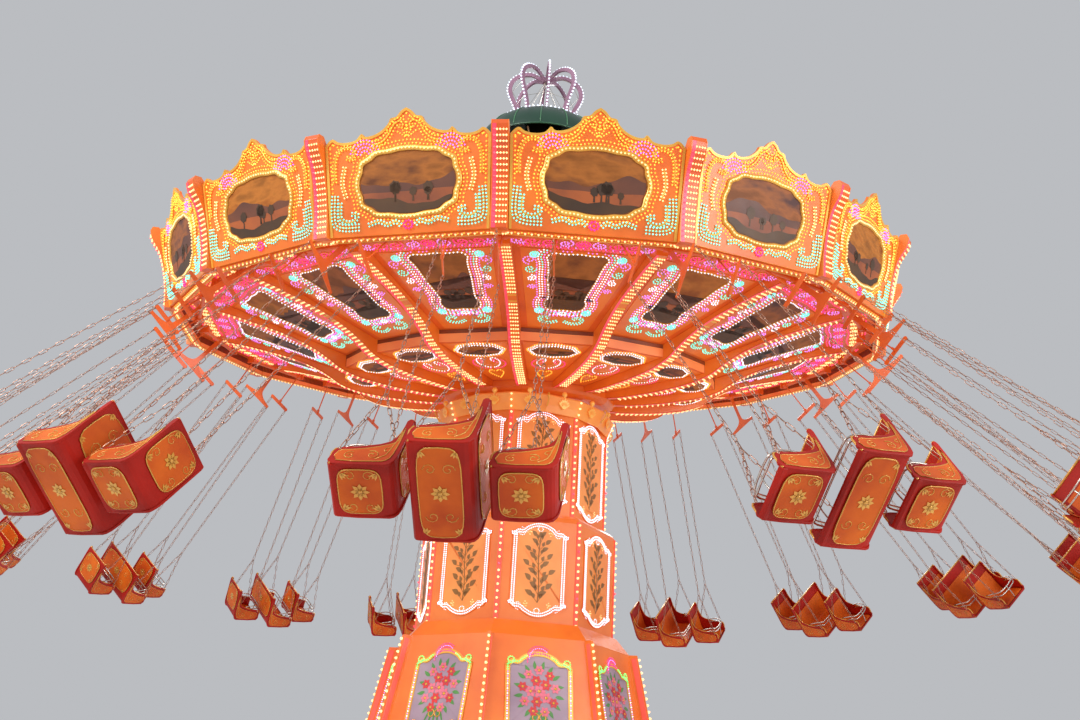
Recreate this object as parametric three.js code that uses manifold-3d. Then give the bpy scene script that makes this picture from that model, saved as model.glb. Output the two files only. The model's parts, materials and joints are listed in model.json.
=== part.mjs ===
// Chair swing ride: a telescoping eight-sided tower carries a tilted sixteen-sided canopy,
// and three chairs hang on chains from a pivot tube behind every corner of the canopy's rim.
// Units are millimetres, +Z is up, the origin is on the ground at the tower's centre.
// Azimuths are in degrees: 0 points along -Y, and they grow towards +X.

import * as THREE from "three";
import { mergeVertices } from "three/addons/utils/BufferGeometryUtils.js";
import Module from "manifold-3d";

const wasm = await Module();
wasm.setup();

// Gap between pieces that rest on each other.
const SEAT = 0.3;

// Tower: eight sides, corner radii and heights.
const TOWER_SIDES = 8;
const TOWER_PHASE = -6.7;
const CASING_WALL = 35;
const FRAME_RADIUS = 2400;
const FRAME_HEIGHT = 160;
const FRAME_WIDTH = 260;
const SKIRT_TOP_RADIUS = 1620;
const SKIRT_TOP_HEIGHT = 3880;
const FLANGE_DEPTH = 110;
const FLANGE_WIDTH = 44;
const MIDDLE_RADIUS = 1385;
const MIDDLE_FOOT = 3500;
const CASING_CLEARANCE = 48;
const INNER_MAST_RADIUS = 1000;
const INNER_MAST_HEIGHT = 3600;
const GUIDE_THICKNESS = 60;
const MIDDLE_LOW_EDGE = 4090;
const MIDDLE_HEIGHT = 5545;
const UPPER_RADIUS = 1217;
const UPPER_FOOT = 5150;
const UPPER_HEIGHT = 7190;
const COLLAR_FOOT = 6985;
const COLLAR_RADIUS = 1318;
const COLLAR_HEIGHT = 7222;

// Mast, dome and crown above the tower.
const MAST_RADIUS = 450;
const MAST_NECK_RADIUS = 300;
const MAST_SHOULDER = 9000;
const MAST_WALL = 40;
const DOME_RADIUS = 1100;
const DOME_FOOT = 11780;
const DOME_RISE = 690;
const DOME_WALL = 20;
const CROWN_RADIUS = 440;
const CROWN_ARCHES = 8;
const CROWN_PHASE = 7;

// Canopy: sixteen sides, measured from its own centre on the tilt axis.
const SIDES = 16;
const BAY = 360 / SIDES;
const CANOPY_PHASE = -1.74;
const CANOPY_HEIGHT = 8400;
const TILT = 8.7;
const LOW_AZIMUTH = -7;
const RIM_RADIUS = 5251;
const RIM_INNER_RADIUS = 5160;
const RIM_DEPTH = 20;
const PANEL_WALL = 20;
const SOFFIT_BEND_RADIUS = 4450;
const SOFFIT_BEND_HEIGHT = 95;
const SOFFIT_EDGE_HEIGHT = 145;
const STEP_RADIUS = 2800;
const STEP_TOP = -420;
const STEP_FOOT = -590;
const HUB_RADIUS = 1300;
const HUB_PANEL_HEIGHT = -770;
const HUB_FOOT = -850;
const HUB_WALL_RADIUS = 840;
const BOWL_FOOT = -945;
// Underside of a sweep from the hub to its tip, in [radius, height] pairs.
const SWEEP_WIDTH = 150;
const SWEEP_UNDERSIDE = [
  [1550, -850], [2000, -812], [2300, -768], [2550, -722], [2750, -660], [2900, -592], [3020, -510],
  [3200, -400], [3420, -297], [3650, -212], [3900, -142], [4170, -78], [4400, -25], [4700, 28],
];
const BEARING_RADIUS = 760;
const BEARING_BORE = 520;
const BEARING_HALF_HEIGHT = 150;
const TRUNNION_RADIUS = 60;
const ROOF_WALL_RADIUS = 4900;
const ROOF_EAVES_HEIGHT = 1000;
const ROOF_TOP_RADIUS = 1050;
const ROOF_TOP_HEIGHT = 2850;
const ROOF_SEAM_RADIUS = 3100;
const ROOF_DEPTH = 22;

// Fascia boards and the curved brackets between them.
const BOARD_SLOPE = 12.4;
const BOARD_WALL = 35;
const BOARD_SHOULDER = 1050;
const BOARD_CREST = 1398;
const BRACKET_WIDTH = 190;
const BRACKET_TOP_RADIUS = 5634;
const BRACKET_HEIGHT = 1110;

// Hangers, chains and chairs.
const PIVOT_RADIUS = 4850;
const PIVOT_HEIGHT = 60;
const PIVOT_TUBE_RADIUS = 28;
const PIVOT_HALF_LENGTH = 660;
const LUG_WIDTH = 20;
const CHAIR_SPACING = 600;
const HANGER_DROP = 610;
const HANGER_PLATE = 16;
const HANGER_HALF_WIDTH = 335;
const SPREADER_HALF_WIDTH = 240;
const CHAIN_LENGTH = 4800;
const CHAIN_WIDTH = 14;
const SPLIT_DROP = 3800;
const DOUBLE_WIDTH = 920;
const SINGLE_WIDTH = 500;
const CHAIR_WALL = 20;
// Swing from the vertical at the near, far, right and left sides.
const SWING_NEAR = 38;
const SWING_FAR = 34;
const SWING_RIGHT = 50;
const SWING_LEFT = 45;

const ORANGE = 0xe8641e;
const GOLD = 0xe0a030;

const radians = (degrees) => THREE.MathUtils.degToRad(degrees);
const toZUp = (geometry) => geometry.rotateX(Math.PI / 2);

// A closed solid from a three.js geometry, with its faces pointing out.
function solid(geometry) {
  const plain = geometry.clone();
  plain.deleteAttribute("normal");
  plain.deleteAttribute("uv");
  const merged = mergeVertices(plain, 1e-3);
  const vertProperties = Float32Array.from(merged.attributes.position.array);
  const triVerts = Uint32Array.from(merged.index.array);
  if (signedVolume(vertProperties, triVerts) < 0) {
    for (let i = 0; i < triVerts.length; i += 3) {
      [triVerts[i], triVerts[i + 1]] = [triVerts[i + 1], triVerts[i]];
    }
  }
  return new wasm.Manifold(new wasm.Mesh({ numProp: 3, vertProperties, triVerts }));
}

function signedVolume(points, triangles) {
  const corners = [new THREE.Vector3(), new THREE.Vector3(), new THREE.Vector3()];
  let total = 0;
  for (let i = 0; i < triangles.length; i += 3) {
    corners.forEach((corner, j) => corner.fromArray(points, triangles[i + j] * 3));
    total += corners[0].dot(corners[1].cross(corners[2]));
  }
  return total;
}

function joined(solids) {
  return solids.reduce((whole, piece) => whole.add(piece));
}

function geometryOf(body) {
  const mesh = body.getMesh();
  const geometry = new THREE.BufferGeometry();
  geometry.setAttribute("position", new THREE.BufferAttribute(mesh.vertProperties, 3));
  geometry.setIndex(new THREE.BufferAttribute(mesh.triVerts, 1));
  return geometry;
}

function piece(name, body, colour, roughness = 0.45, metalness = 0.0) {
  const material = new THREE.MeshStandardMaterial({ color: colour, roughness, metalness });
  const mesh = new THREE.Mesh(geometryOf(body), material);
  mesh.name = name;
  return mesh;
}

// A many-sided ring or cap: the profile holds [corner radius, height] pairs.
function turned(profile, sides, phase) {
  const points = profile.map(([r, z]) => new THREE.Vector2(r, z));
  const onAxis = profile[0][0] === 0 && profile[profile.length - 1][0] === 0;
  if (!onAxis) {
    points.push(points[0].clone());
  }
  return solid(toZUp(new THREE.LatheGeometry(points, sides, radians(phase), 2 * Math.PI)));
}

// A plate: an outline in (across, up) pairs, made thick about its own middle.
function plate(outline, thickness) {
  const shape = new THREE.Shape(outline.map(([x, y]) => new THREE.Vector2(x, y)));
  const geometry = new THREE.ExtrudeGeometry(shape, { depth: thickness, bevelEnabled: false });
  return geometry.translate(0, 0, -thickness / 2);
}

// A plate that stands in the plane of azimuth 0: the outline holds [radius, height] pairs.
function radialPlate(outline, thickness) {
  const geometry = plate(outline, thickness);
  const outward = new THREE.Vector3(0, -1, 0);
  const up = new THREE.Vector3(0, 0, 1);
  const across = new THREE.Vector3().crossVectors(outward, up);
  return geometry.applyMatrix4(new THREE.Matrix4().makeBasis(outward, up, across));
}

function aroundAxis(geometry, azimuth) {
  return geometry.clone().rotateZ(radians(azimuth));
}

// A straight bar of square section between two points.
function bar(from, to, width) {
  const start = new THREE.Vector3(...from);
  const end = new THREE.Vector3(...to);
  const along = end.clone().sub(start);
  const geometry = new THREE.BoxGeometry(width, width, along.length());
  const up = new THREE.Vector3(0, 0, 1);
  geometry.applyQuaternion(new THREE.Quaternion().setFromUnitVectors(up, along.clone().normalize()));
  return geometry.translate(...start.add(end).multiplyScalar(0.5).toArray());
}

function corner(index) {
  return CANOPY_PHASE + BAY * index;
}

// Corner radius of a many-sided ring whose sides stand outside another's by a gap.
function clearRadius(radius, sides, gap = SEAT) {
  return radius + gap / Math.cos(Math.PI / sides);
}

// Tower

function groundFrame() {
  const ring = turned([
    [FRAME_RADIUS - FRAME_WIDTH, 0],
    [FRAME_RADIUS, 0],
    [FRAME_RADIUS, FRAME_HEIGHT],
    [FRAME_RADIUS - FRAME_WIDTH, FRAME_HEIGHT],
  ], TOWER_SIDES, TOWER_PHASE);
  const reach = FRAME_RADIUS - FRAME_WIDTH / 2;
  const beams = [0, 90].map((turn) => {
    const beam = new THREE.BoxGeometry(2 * reach, FRAME_WIDTH, FRAME_HEIGHT);
    return solid(aroundAxis(beam.translate(0, 0, FRAME_HEIGHT / 2), TOWER_PHASE + turn));
  });
  return piece("ground_frame", joined([ring, ...beams]), 0x5a4a42, 0.6, 0.4);
}

function baseSkirt() {
  const foot = FRAME_HEIGHT + SEAT;
  const shell = turned([
    [FRAME_RADIUS, foot],
    [SKIRT_TOP_RADIUS, SKIRT_TOP_HEIGHT],
    [SKIRT_TOP_RADIUS - CASING_WALL, SKIRT_TOP_HEIGHT],
    [FRAME_RADIUS - CASING_WALL, foot],
  ], TOWER_SIDES, TOWER_PHASE);
  const flange = radialPlate([
    [FRAME_RADIUS - CASING_WALL / 2, foot],
    [FRAME_RADIUS + FLANGE_DEPTH, foot],
    [SKIRT_TOP_RADIUS + FLANGE_DEPTH, SKIRT_TOP_HEIGHT],
    [SKIRT_TOP_RADIUS - CASING_WALL / 2, SKIRT_TOP_HEIGHT],
  ], FLANGE_WIDTH);
  const flanges = Array.from({ length: TOWER_SIDES }, (_, i) =>
    solid(aroundAxis(flange, TOWER_PHASE + i * 360 / TOWER_SIDES)));
  return piece("base_skirt", joined([shell, ...flanges]), ORANGE);
}

// The sloping shoulder that closes the skirt round the middle casing.
function skirtShoulder() {
  const foot = SKIRT_TOP_HEIGHT + SEAT;
  const neck = clearRadius(MIDDLE_RADIUS, TOWER_SIDES, CASING_CLEARANCE);
  const body = turned([
    [SKIRT_TOP_RADIUS - CASING_WALL, foot],
    [SKIRT_TOP_RADIUS, foot],
    [neck, MIDDLE_LOW_EDGE],
    [neck, MIDDLE_LOW_EDGE - 1.2 * CASING_WALL],
  ], TOWER_SIDES, TOWER_PHASE);
  return piece("skirt_shoulder", body, ORANGE);
}

// The fixed mast inside the skirt, round which the middle casing's foot slides.
function innerMast() {
  const foot = FRAME_HEIGHT + SEAT;
  const body = turned([
    [INNER_MAST_RADIUS - CASING_WALL, foot],
    [INNER_MAST_RADIUS, foot],
    [INNER_MAST_RADIUS, INNER_MAST_HEIGHT],
    [INNER_MAST_RADIUS - CASING_WALL, INNER_MAST_HEIGHT],
  ], TOWER_SIDES, TOWER_PHASE);
  return piece("inner_mast", body, 0x5a4a42, 0.6, 0.4);
}

function middleCasing() {
  const neck = clearRadius(UPPER_RADIUS, TOWER_SIDES, CASING_CLEARANCE);
  const inner = MIDDLE_RADIUS - CASING_WALL;
  const guide = clearRadius(INNER_MAST_RADIUS, TOWER_SIDES);
  const body = turned([
    [inner, MIDDLE_FOOT + GUIDE_THICKNESS],
    [guide, MIDDLE_FOOT + GUIDE_THICKNESS],
    [guide, MIDDLE_FOOT],
    [MIDDLE_RADIUS, MIDDLE_FOOT],
    [MIDDLE_RADIUS, MIDDLE_HEIGHT - 110],
    [MIDDLE_RADIUS - 25, MIDDLE_HEIGHT - 45],
    [MIDDLE_RADIUS - 80, MIDDLE_HEIGHT],
    [neck, MIDDLE_HEIGHT],
    [neck, MIDDLE_HEIGHT - CASING_WALL],
    [inner - 45, MIDDLE_HEIGHT - CASING_WALL],
    [inner, MIDDLE_HEIGHT - 110],
  ], TOWER_SIDES, TOWER_PHASE);
  return piece("middle_casing", body, ORANGE);
}

function upperCasing() {
  const inner = UPPER_RADIUS - CASING_WALL;
  const guide = clearRadius(MIDDLE_RADIUS - CASING_WALL, TOWER_SIDES, -SEAT);
  const body = turned([
    [0, UPPER_HEIGHT - CASING_WALL],
    [inner, UPPER_HEIGHT - CASING_WALL],
    [inner, UPPER_FOOT],
    [guide, UPPER_FOOT],
    [guide, UPPER_FOOT + GUIDE_THICKNESS],
    [UPPER_RADIUS, UPPER_FOOT + GUIDE_THICKNESS],
    [UPPER_RADIUS, UPPER_HEIGHT],
    [0, UPPER_HEIGHT],
  ], TOWER_SIDES, TOWER_PHASE);
  return piece("upper_casing", body, ORANGE);
}

// The flared crest round the upper casing's top.
function collar() {
  const inner = clearRadius(UPPER_RADIUS, 2 * TOWER_SIDES);
  const body = turned([
    [inner, COLLAR_FOOT],
    [inner + 15, COLLAR_FOOT],
    [inner + 45, COLLAR_FOOT + 95],
    [COLLAR_RADIUS, COLLAR_HEIGHT - 22],
    [COLLAR_RADIUS - 16, COLLAR_HEIGHT],
    [COLLAR_RADIUS - 28, COLLAR_HEIGHT - 7],
    [inner + 27, COLLAR_FOOT + 105],
    [inner, COLLAR_FOOT + 45],
  ], 2 * TOWER_SIDES, TOWER_PHASE);
  return piece("collar", body, GOLD, 0.35, 0.3);
}

function mast() {
  const sides = 16;
  const wide = MAST_RADIUS / Math.cos(Math.PI / sides);
  const foot = UPPER_HEIGHT + SEAT;
  const top = DOME_FOOT + DOME_RISE - DOME_WALL - SEAT;
  const body = turned([
    [wide - MAST_WALL, foot],
    [wide, foot],
    [wide, MAST_SHOULDER],
    [MAST_NECK_RADIUS, MAST_SHOULDER + 150],
    [MAST_NECK_RADIUS, top],
    [0, top],
    [0, top - MAST_WALL],
    [MAST_NECK_RADIUS - MAST_WALL, top - MAST_WALL],
    [MAST_NECK_RADIUS - MAST_WALL, MAST_SHOULDER + 130],
    [wide - MAST_WALL, MAST_SHOULDER - 20],
  ], sides, LOW_AZIMUTH + 90 + 180 / sides);
  return piece("centre_mast", body, 0x6b6f73, 0.5, 0.7);
}

function dome() {
  const outer = [[1, 0], [0.95, 0.29], [0.86, 0.53], [0.72, 0.75], [0.55, 0.91], [0.42, 1], [0, 1]];
  const top = outer.map(([r, z]) => [DOME_RADIUS * r, DOME_FOOT + DOME_RISE * z]);
  const inner = outer.map(([r, z]) => [(DOME_RADIUS - DOME_WALL) * r, DOME_FOOT + DOME_RISE * z - DOME_WALL * z]);
  const body = turned([...inner.reverse(), ...top], SIDES, 0);
  return piece("dome", body, 0x1f4a34, 0.4, 0.2);
}

function crown() {
  const foot = DOME_FOOT + DOME_RISE + SEAT;
  const ring = turned([
    [CROWN_RADIUS - 50, foot],
    [CROWN_RADIUS, foot],
    [CROWN_RADIUS, foot + 60],
    [CROWN_RADIUS - 50, foot + 60],
  ], 2 * CROWN_ARCHES, CROWN_PHASE);
  const arch = radialPlate([
    [430, 10], [510, 290], [600, 500], [640, 650], [605, 820], [500, 950], [360, 1022], [240, 1030], [100, 970],
    [0, 915], [0, 865], [110, 920], [245, 980], [350, 973], [478, 905], [560, 795], [590, 650], [553, 515],
    [463, 305], [395, 10],
  ].map(([r, z]) => [r, z + foot]), 44);
  const arches = Array.from({ length: CROWN_ARCHES }, (_, i) =>
    solid(aroundAxis(arch, CROWN_PHASE + i * 360 / CROWN_ARCHES)));
  return piece("crown", joined([ring, ...arches]), 0xb9a3cf, 0.4, 0.1);
}

// Canopy, in its own level frame

function tiltRing() {
  const ring = turned([
    [BEARING_BORE, -BEARING_HALF_HEIGHT],
    [BEARING_RADIUS, -BEARING_HALF_HEIGHT],
    [BEARING_RADIUS, BEARING_HALF_HEIGHT],
    [BEARING_BORE, BEARING_HALF_HEIGHT],
  ], 24, 0);
  const start = MAST_RADIUS + SEAT;
  const length = BEARING_BORE + 20 - start;
  const pins = [1, -1].map((side) => {
    const pin = new THREE.CylinderGeometry(TRUNNION_RADIUS, TRUNNION_RADIUS, length, 12).rotateZ(Math.PI / 2);
    return solid(aroundAxis(pin.translate(side * (start + length / 2), 0, 0), LOW_AZIMUTH));
  });
  return piece("tilt_ring", joined([ring, ...pins]), 0x55585c, 0.5, 0.8);
}

// The drum round the bearing, which carries the sweeps.
function hubWall() {
  const body = turned([
    [HUB_WALL_RADIUS - 40, BOWL_FOOT],
    [HUB_WALL_RADIUS, BOWL_FOOT],
    [HUB_WALL_RADIUS, BEARING_HALF_HEIGHT],
    [HUB_WALL_RADIUS - 40, BEARING_HALF_HEIGHT],
  ], SIDES, CANOPY_PHASE);
  return piece("hub_wall", body, ORANGE, 0.4);
}

// The flat ring by which the drum rests on the bearing.
function hubLip() {
  const foot = BEARING_HALF_HEIGHT + SEAT;
  const body = turned([
    [HUB_WALL_RADIUS - 140, foot],
    [HUB_WALL_RADIUS, foot],
    [HUB_WALL_RADIUS, foot + 40],
    [HUB_WALL_RADIUS - 140, foot + 40],
  ], SIDES, CANOPY_PHASE);
  return piece("hub_lip", body, ORANGE, 0.4);
}

// The smooth bowl under the inner ends of the sweeps.
function hubBowl() {
  const top = HUB_FOOT - SEAT;
  const inner = clearRadius(HUB_WALL_RADIUS, SIDES);
  const body = turned([
    [inner, BOWL_FOOT],
    [HUB_RADIUS - 120, BOWL_FOOT],
    [HUB_RADIUS - 65, BOWL_FOOT + 14],
    [HUB_RADIUS - 20, BOWL_FOOT + 50],
    [HUB_RADIUS, top],
    [HUB_RADIUS - 35, top],
    [HUB_RADIUS - 50, BOWL_FOOT + 62],
    [HUB_RADIUS - 88, BOWL_FOOT + 36],
    [HUB_RADIUS - 132, BOWL_FOOT + 24],
    [inner, BOWL_FOOT + 24],
  ], SIDES, CANOPY_PHASE);
  return piece("hub_bowl", body, ORANGE, 0.4);
}

// Height of the soffit's outer edge panel over a corner radius.
function edgeHeight(radius) {
  const slope = (SOFFIT_EDGE_HEIGHT - SOFFIT_BEND_HEIGHT) / (RIM_INNER_RADIUS - SOFFIT_BEND_RADIUS);
  return SOFFIT_BEND_HEIGHT + slope * (radius - SOFFIT_BEND_RADIUS);
}

// The sixteen sweeps, joined by a ring over the bowl's rim.
function sweepFrame() {
  const panelFoot = HUB_PANEL_HEIGHT - SEAT;
  const ring = turned([
    [HUB_RADIUS - 70, HUB_FOOT],
    [HUB_RADIUS, HUB_FOOT],
    [HUB_RADIUS, panelFoot],
    [HUB_RADIUS - 70, panelFoot],
  ], SIDES, CANOPY_PHASE);
  const tuck = 40;
  const innerSlope = (STEP_FOOT - HUB_PANEL_HEIGHT) / (STEP_RADIUS - HUB_RADIUS);
  const hubTop = HUB_PANEL_HEIGHT - 2 * SEAT - tuck * innerSlope;
  const tipRadius = SWEEP_UNDERSIDE[SWEEP_UNDERSIDE.length - 1][0];
  const sweep = radialPlate([
    [HUB_WALL_RADIUS + SEAT, HUB_FOOT],
    ...SWEEP_UNDERSIDE,
    [tipRadius, edgeHeight(tipRadius) - 2 * SEAT],
    [SOFFIT_BEND_RADIUS, SOFFIT_BEND_HEIGHT - 2 * SEAT],
    [STEP_RADIUS + 2 * SEAT, STEP_TOP - 2 * SEAT],
    [STEP_RADIUS + 2 * SEAT, STEP_FOOT - 2 * SEAT],
    [HUB_RADIUS - tuck, hubTop],
    [HUB_WALL_RADIUS + SEAT, hubTop],
  ], SWEEP_WIDTH);
  const sweeps = Array.from({ length: SIDES }, (_, i) => solid(aroundAxis(sweep, corner(i))));
  return piece("sweep_frame", joined([ring, ...sweeps]), ORANGE, 0.4);
}

function soffitInner() {
  const body = turned([
    [HUB_RADIUS, HUB_PANEL_HEIGHT],
    [STEP_RADIUS, STEP_FOOT],
    [STEP_RADIUS, STEP_FOOT + PANEL_WALL],
    [HUB_RADIUS, HUB_PANEL_HEIGHT + PANEL_WALL],
  ], SIDES, CANOPY_PHASE);
  return piece("soffit_inner", body, 0xd9a05a, 0.5);
}

// The upright wall between the inner and the outer soffit.
function stepRiser() {
  const foot = STEP_FOOT + PANEL_WALL + SEAT;
  const body = turned([
    [STEP_RADIUS - PANEL_WALL, foot],
    [STEP_RADIUS, foot],
    [STEP_RADIUS, STEP_TOP + PANEL_WALL],
    [STEP_RADIUS - PANEL_WALL, STEP_TOP + PANEL_WALL],
  ], SIDES, CANOPY_PHASE);
  return piece("step_riser", body, 0x7a3a20, 0.5);
}

function soffitOuter() {
  const start = clearRadius(STEP_RADIUS, SIDES);
  const body = turned([
    [start, STEP_TOP],
    [SOFFIT_BEND_RADIUS, SOFFIT_BEND_HEIGHT],
    [SOFFIT_BEND_RADIUS, SOFFIT_BEND_HEIGHT + PANEL_WALL],
    [start, STEP_TOP + PANEL_WALL],
  ], SIDES, CANOPY_PHASE);
  return piece("soffit_outer", body, 0xd9a05a, 0.5);
}

// The soffit's outer edge inside the rim, with two lugs for each pivot tube.
function soffitEdge() {
  const start = clearRadius(SOFFIT_BEND_RADIUS, SIDES);
  const end = clearRadius(RIM_INNER_RADIUS, SIDES, -SEAT);
  const panel = turned([
    [start, SOFFIT_BEND_HEIGHT],
    [end, SOFFIT_EDGE_HEIGHT],
    [end, SOFFIT_EDGE_HEIGHT + PANEL_WALL],
    [start, SOFFIT_BEND_HEIGHT + PANEL_WALL],
  ], SIDES, CANOPY_PHASE);
  const lugFoot = PIVOT_HEIGHT - 1.5 * PIVOT_TUBE_RADIUS;
  const lugHeight = edgeHeight(PIVOT_RADIUS) + PANEL_WALL - lugFoot;
  const across = PIVOT_HALF_LENGTH + SEAT + LUG_WIDTH / 2;
  const lugs = Array.from({ length: 2 * SIDES }, (_, i) => {
    const side = i % 2 === 0 ? 1 : -1;
    const lug = new THREE.BoxGeometry(LUG_WIDTH, 120, lugHeight);
    lug.translate(side * across, -PIVOT_RADIUS, lugFoot + lugHeight / 2);
    return solid(aroundAxis(lug, corner(Math.floor(i / 2))));
  });
  return piece("soffit_edge", joined([panel, ...lugs]), 0xd9a05a, 0.5);
}

function rimRing() {
  const body = turned([
    [RIM_INNER_RADIUS, -RIM_DEPTH],
    [RIM_RADIUS, -RIM_DEPTH],
    [RIM_RADIUS, SOFFIT_EDGE_HEIGHT + PANEL_WALL],
    [RIM_INNER_RADIUS, SOFFIT_EDGE_HEIGHT + PANEL_WALL],
  ], SIDES, CANOPY_PHASE);
  return piece("rim_ring", body, ORANGE, 0.4);
}

function roofWall() {
  const foot = edgeHeight(ROOF_WALL_RADIUS) + PANEL_WALL + SEAT;
  const top = ROOF_EAVES_HEIGHT - ROOF_DEPTH - SEAT;
  const body = turned([
    [ROOF_WALL_RADIUS - PANEL_WALL, foot],
    [ROOF_WALL_RADIUS, foot],
    [ROOF_WALL_RADIUS, top],
    [ROOF_WALL_RADIUS - PANEL_WALL, top],
  ], SIDES, CANOPY_PHASE);
  return piece("roof_wall", body, 0x2d5a45, 0.6);
}

// Height of the roof's outer face over a corner radius.
function roofHeight(radius) {
  const slope = (ROOF_TOP_HEIGHT - ROOF_EAVES_HEIGHT) / (ROOF_WALL_RADIUS - ROOF_TOP_RADIUS);
  return ROOF_EAVES_HEIGHT + slope * (ROOF_WALL_RADIUS - radius);
}

function roofBand(name, outerRadius, innerRadius) {
  const body = turned([
    [outerRadius, roofHeight(outerRadius) - ROOF_DEPTH],
    [outerRadius, roofHeight(outerRadius)],
    [innerRadius, roofHeight(innerRadius)],
    [innerRadius, roofHeight(innerRadius) - ROOF_DEPTH],
  ], SIDES, CANOPY_PHASE);
  return piece(name, body, 0x2d5a45, 0.6);
}

// One fascia board with the curved bracket at its left-hand corner.
function fascia(index) {
  const halfBay = radians(BAY / 2);
  const foot = RIM_RADIUS * Math.cos(halfBay) + SEAT;
  const widthAt = (up) => (foot + up * Math.sin(radians(BOARD_SLOPE))) * Math.tan(halfBay)
    - BRACKET_WIDTH / 2 / Math.cos(halfBay) - 2 * SEAT;
  const tuck = 60;
  const crest = [[0.8, 1100], [0.5, 1105], [0.32, 1270], [0.12, BOARD_CREST]];
  const top = [...crest, ...crest.map(([x, y]) => [-x, y]).reverse()];
  const board = plate([
    [-widthAt(0) - tuck, 0],
    [widthAt(0), 0],
    [widthAt(BOARD_SHOULDER), BOARD_SHOULDER],
    ...top.map(([x, y]) => [x * widthAt(BOARD_SHOULDER), y]),
    [-widthAt(BOARD_SHOULDER) - tuck, BOARD_SHOULDER],
  ], BOARD_WALL);
  board.translate(0, 0, BOARD_WALL / 2);
  board.rotateX(Math.PI / 2 + radians(BOARD_SLOPE));
  board.translate(0, -foot, 0);
  const inner = RIM_RADIUS + SEAT;
  const bracket = radialPlate([
    [inner, -20],
    [inner + 85, -20],
    [inner + 100, 250],
    [inner + 145, 500],
    [inner + 225, 750],
    [BRACKET_TOP_RADIUS - 40, 930],
    [BRACKET_TOP_RADIUS, 1050],
    [BRACKET_TOP_RADIUS - 30, BRACKET_HEIGHT],
    [BRACKET_TOP_RADIUS - 110, BRACKET_HEIGHT],
    [inner + 190, 1010],
    [inner + 90, 600],
  ], BRACKET_WIDTH);
  const whole = solid(aroundAxis(board, corner(index) + BAY / 2)).add(solid(aroundAxis(bracket, corner(index))));
  return piece(`fascia_${String(index + 1).padStart(2, "0")}`, whole, ORANGE, 0.4);
}

// Chairs: built hanging straight down from the pivot, facing -X, with -Y outward.

function chairShell(width, offset) {
  const outer = [[-250, -20], [230, -20], [300, 600], [150, 260], [-250, 190]];
  const inner = [[-400, 12], [203, 12], [274, 700], [-400, 700]];
  const stand = (outline, across) => {
    const geometry = plate(outline, across).rotateX(Math.PI / 2);
    return solid(geometry.translate(offset, 0, -CHAIN_LENGTH));
  };
  return stand(outer, width).subtract(stand(inner, width - 2 * CHAIR_WALL));
}

function lapBar(width, offset) {
  const z = -CHAIN_LENGTH + 165;
  const reach = width / 2 - CHAIR_WALL / 2;
  return solid(bar([offset - 220, -reach, z], [offset - 220, reach, z], 30));
}

// The chains of one chair: on each side one line runs down from the hanger
// and splits to the front and the back of the chair's cheek.
function chains(width, hangerHalf, offset) {
  const half = CHAIN_WIDTH / 2;
  const front = -200;
  const back = 190;
  const outline = [
    [half, CHAIN_LENGTH - HANGER_DROP + 15],
    [half, CHAIN_LENGTH - SPLIT_DROP],
    [back + half, 320],
    [back - half, 320],
    [0, CHAIN_LENGTH - SPLIT_DROP - 4 * half],
    [front + half, 170],
    [front - half, 170],
    [-half, CHAIN_LENGTH - SPLIT_DROP],
    [-half, CHAIN_LENGTH - HANGER_DROP + 15],
  ];
  const cheek = width / 2 - CHAIR_WALL / 2;
  const lean = Math.atan2(cheek - hangerHalf, CHAIN_LENGTH - HANGER_DROP);
  return [1, -1].map((side) => {
    const line = plate(outline, CHAIN_WIDTH).rotateX(Math.PI / 2 + side * lean);
    return solid(line.translate(offset, side * cheek, -CHAIN_LENGTH));
  });
}

function flaredHanger() {
  const half = [[34, 34], [38, -420], [150, -500], [HANGER_HALF_WIDTH, -560], [HANGER_HALF_WIDTH, -HANGER_DROP]];
  const outline = [...half, ...half.map(([y, z]) => [-y, z]).reverse()];
  return solid(radialPlate(outline, HANGER_PLATE));
}

function barHanger(offset) {
  const rod = solid(bar([offset, 0, 0], [offset, 0, -HANGER_DROP + 30], 22));
  const spreader = new THREE.BoxGeometry(30, 2 * SPREADER_HALF_WIDTH, 60);
  return rod.add(solid(spreader.translate(offset, 0, -HANGER_DROP + 30)));
}

function swingSet(index) {
  const tube = new THREE.CylinderGeometry(
    PIVOT_TUBE_RADIUS, PIVOT_TUBE_RADIUS, 2 * PIVOT_HALF_LENGTH, 8).rotateZ(Math.PI / 2);
  const parts = [
    solid(tube),
    flaredHanger(),
    chairShell(DOUBLE_WIDTH, 0),
    lapBar(DOUBLE_WIDTH, 0),
    ...chains(DOUBLE_WIDTH, HANGER_HALF_WIDTH - 20, 0),
  ];
  for (const offset of [-CHAIR_SPACING, CHAIR_SPACING]) {
    parts.push(barHanger(offset), chairShell(SINGLE_WIDTH, offset), lapBar(SINGLE_WIDTH, offset));
    parts.push(...chains(SINGLE_WIDTH, SPREADER_HALF_WIDTH - 20, offset));
  }
  const mesh = piece(`swing_set_${String(index + 1).padStart(2, "0")}`, joined(parts), 0xa83c20, 0.5);
  mesh.position.set(0, -PIVOT_RADIUS, PIVOT_HEIGHT);
  mesh.rotation.x = -radians(swingAngle(corner(index)));
  const turn = new THREE.Group();
  turn.rotation.z = radians(corner(index));
  turn.add(mesh);
  return turn;
}

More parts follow.
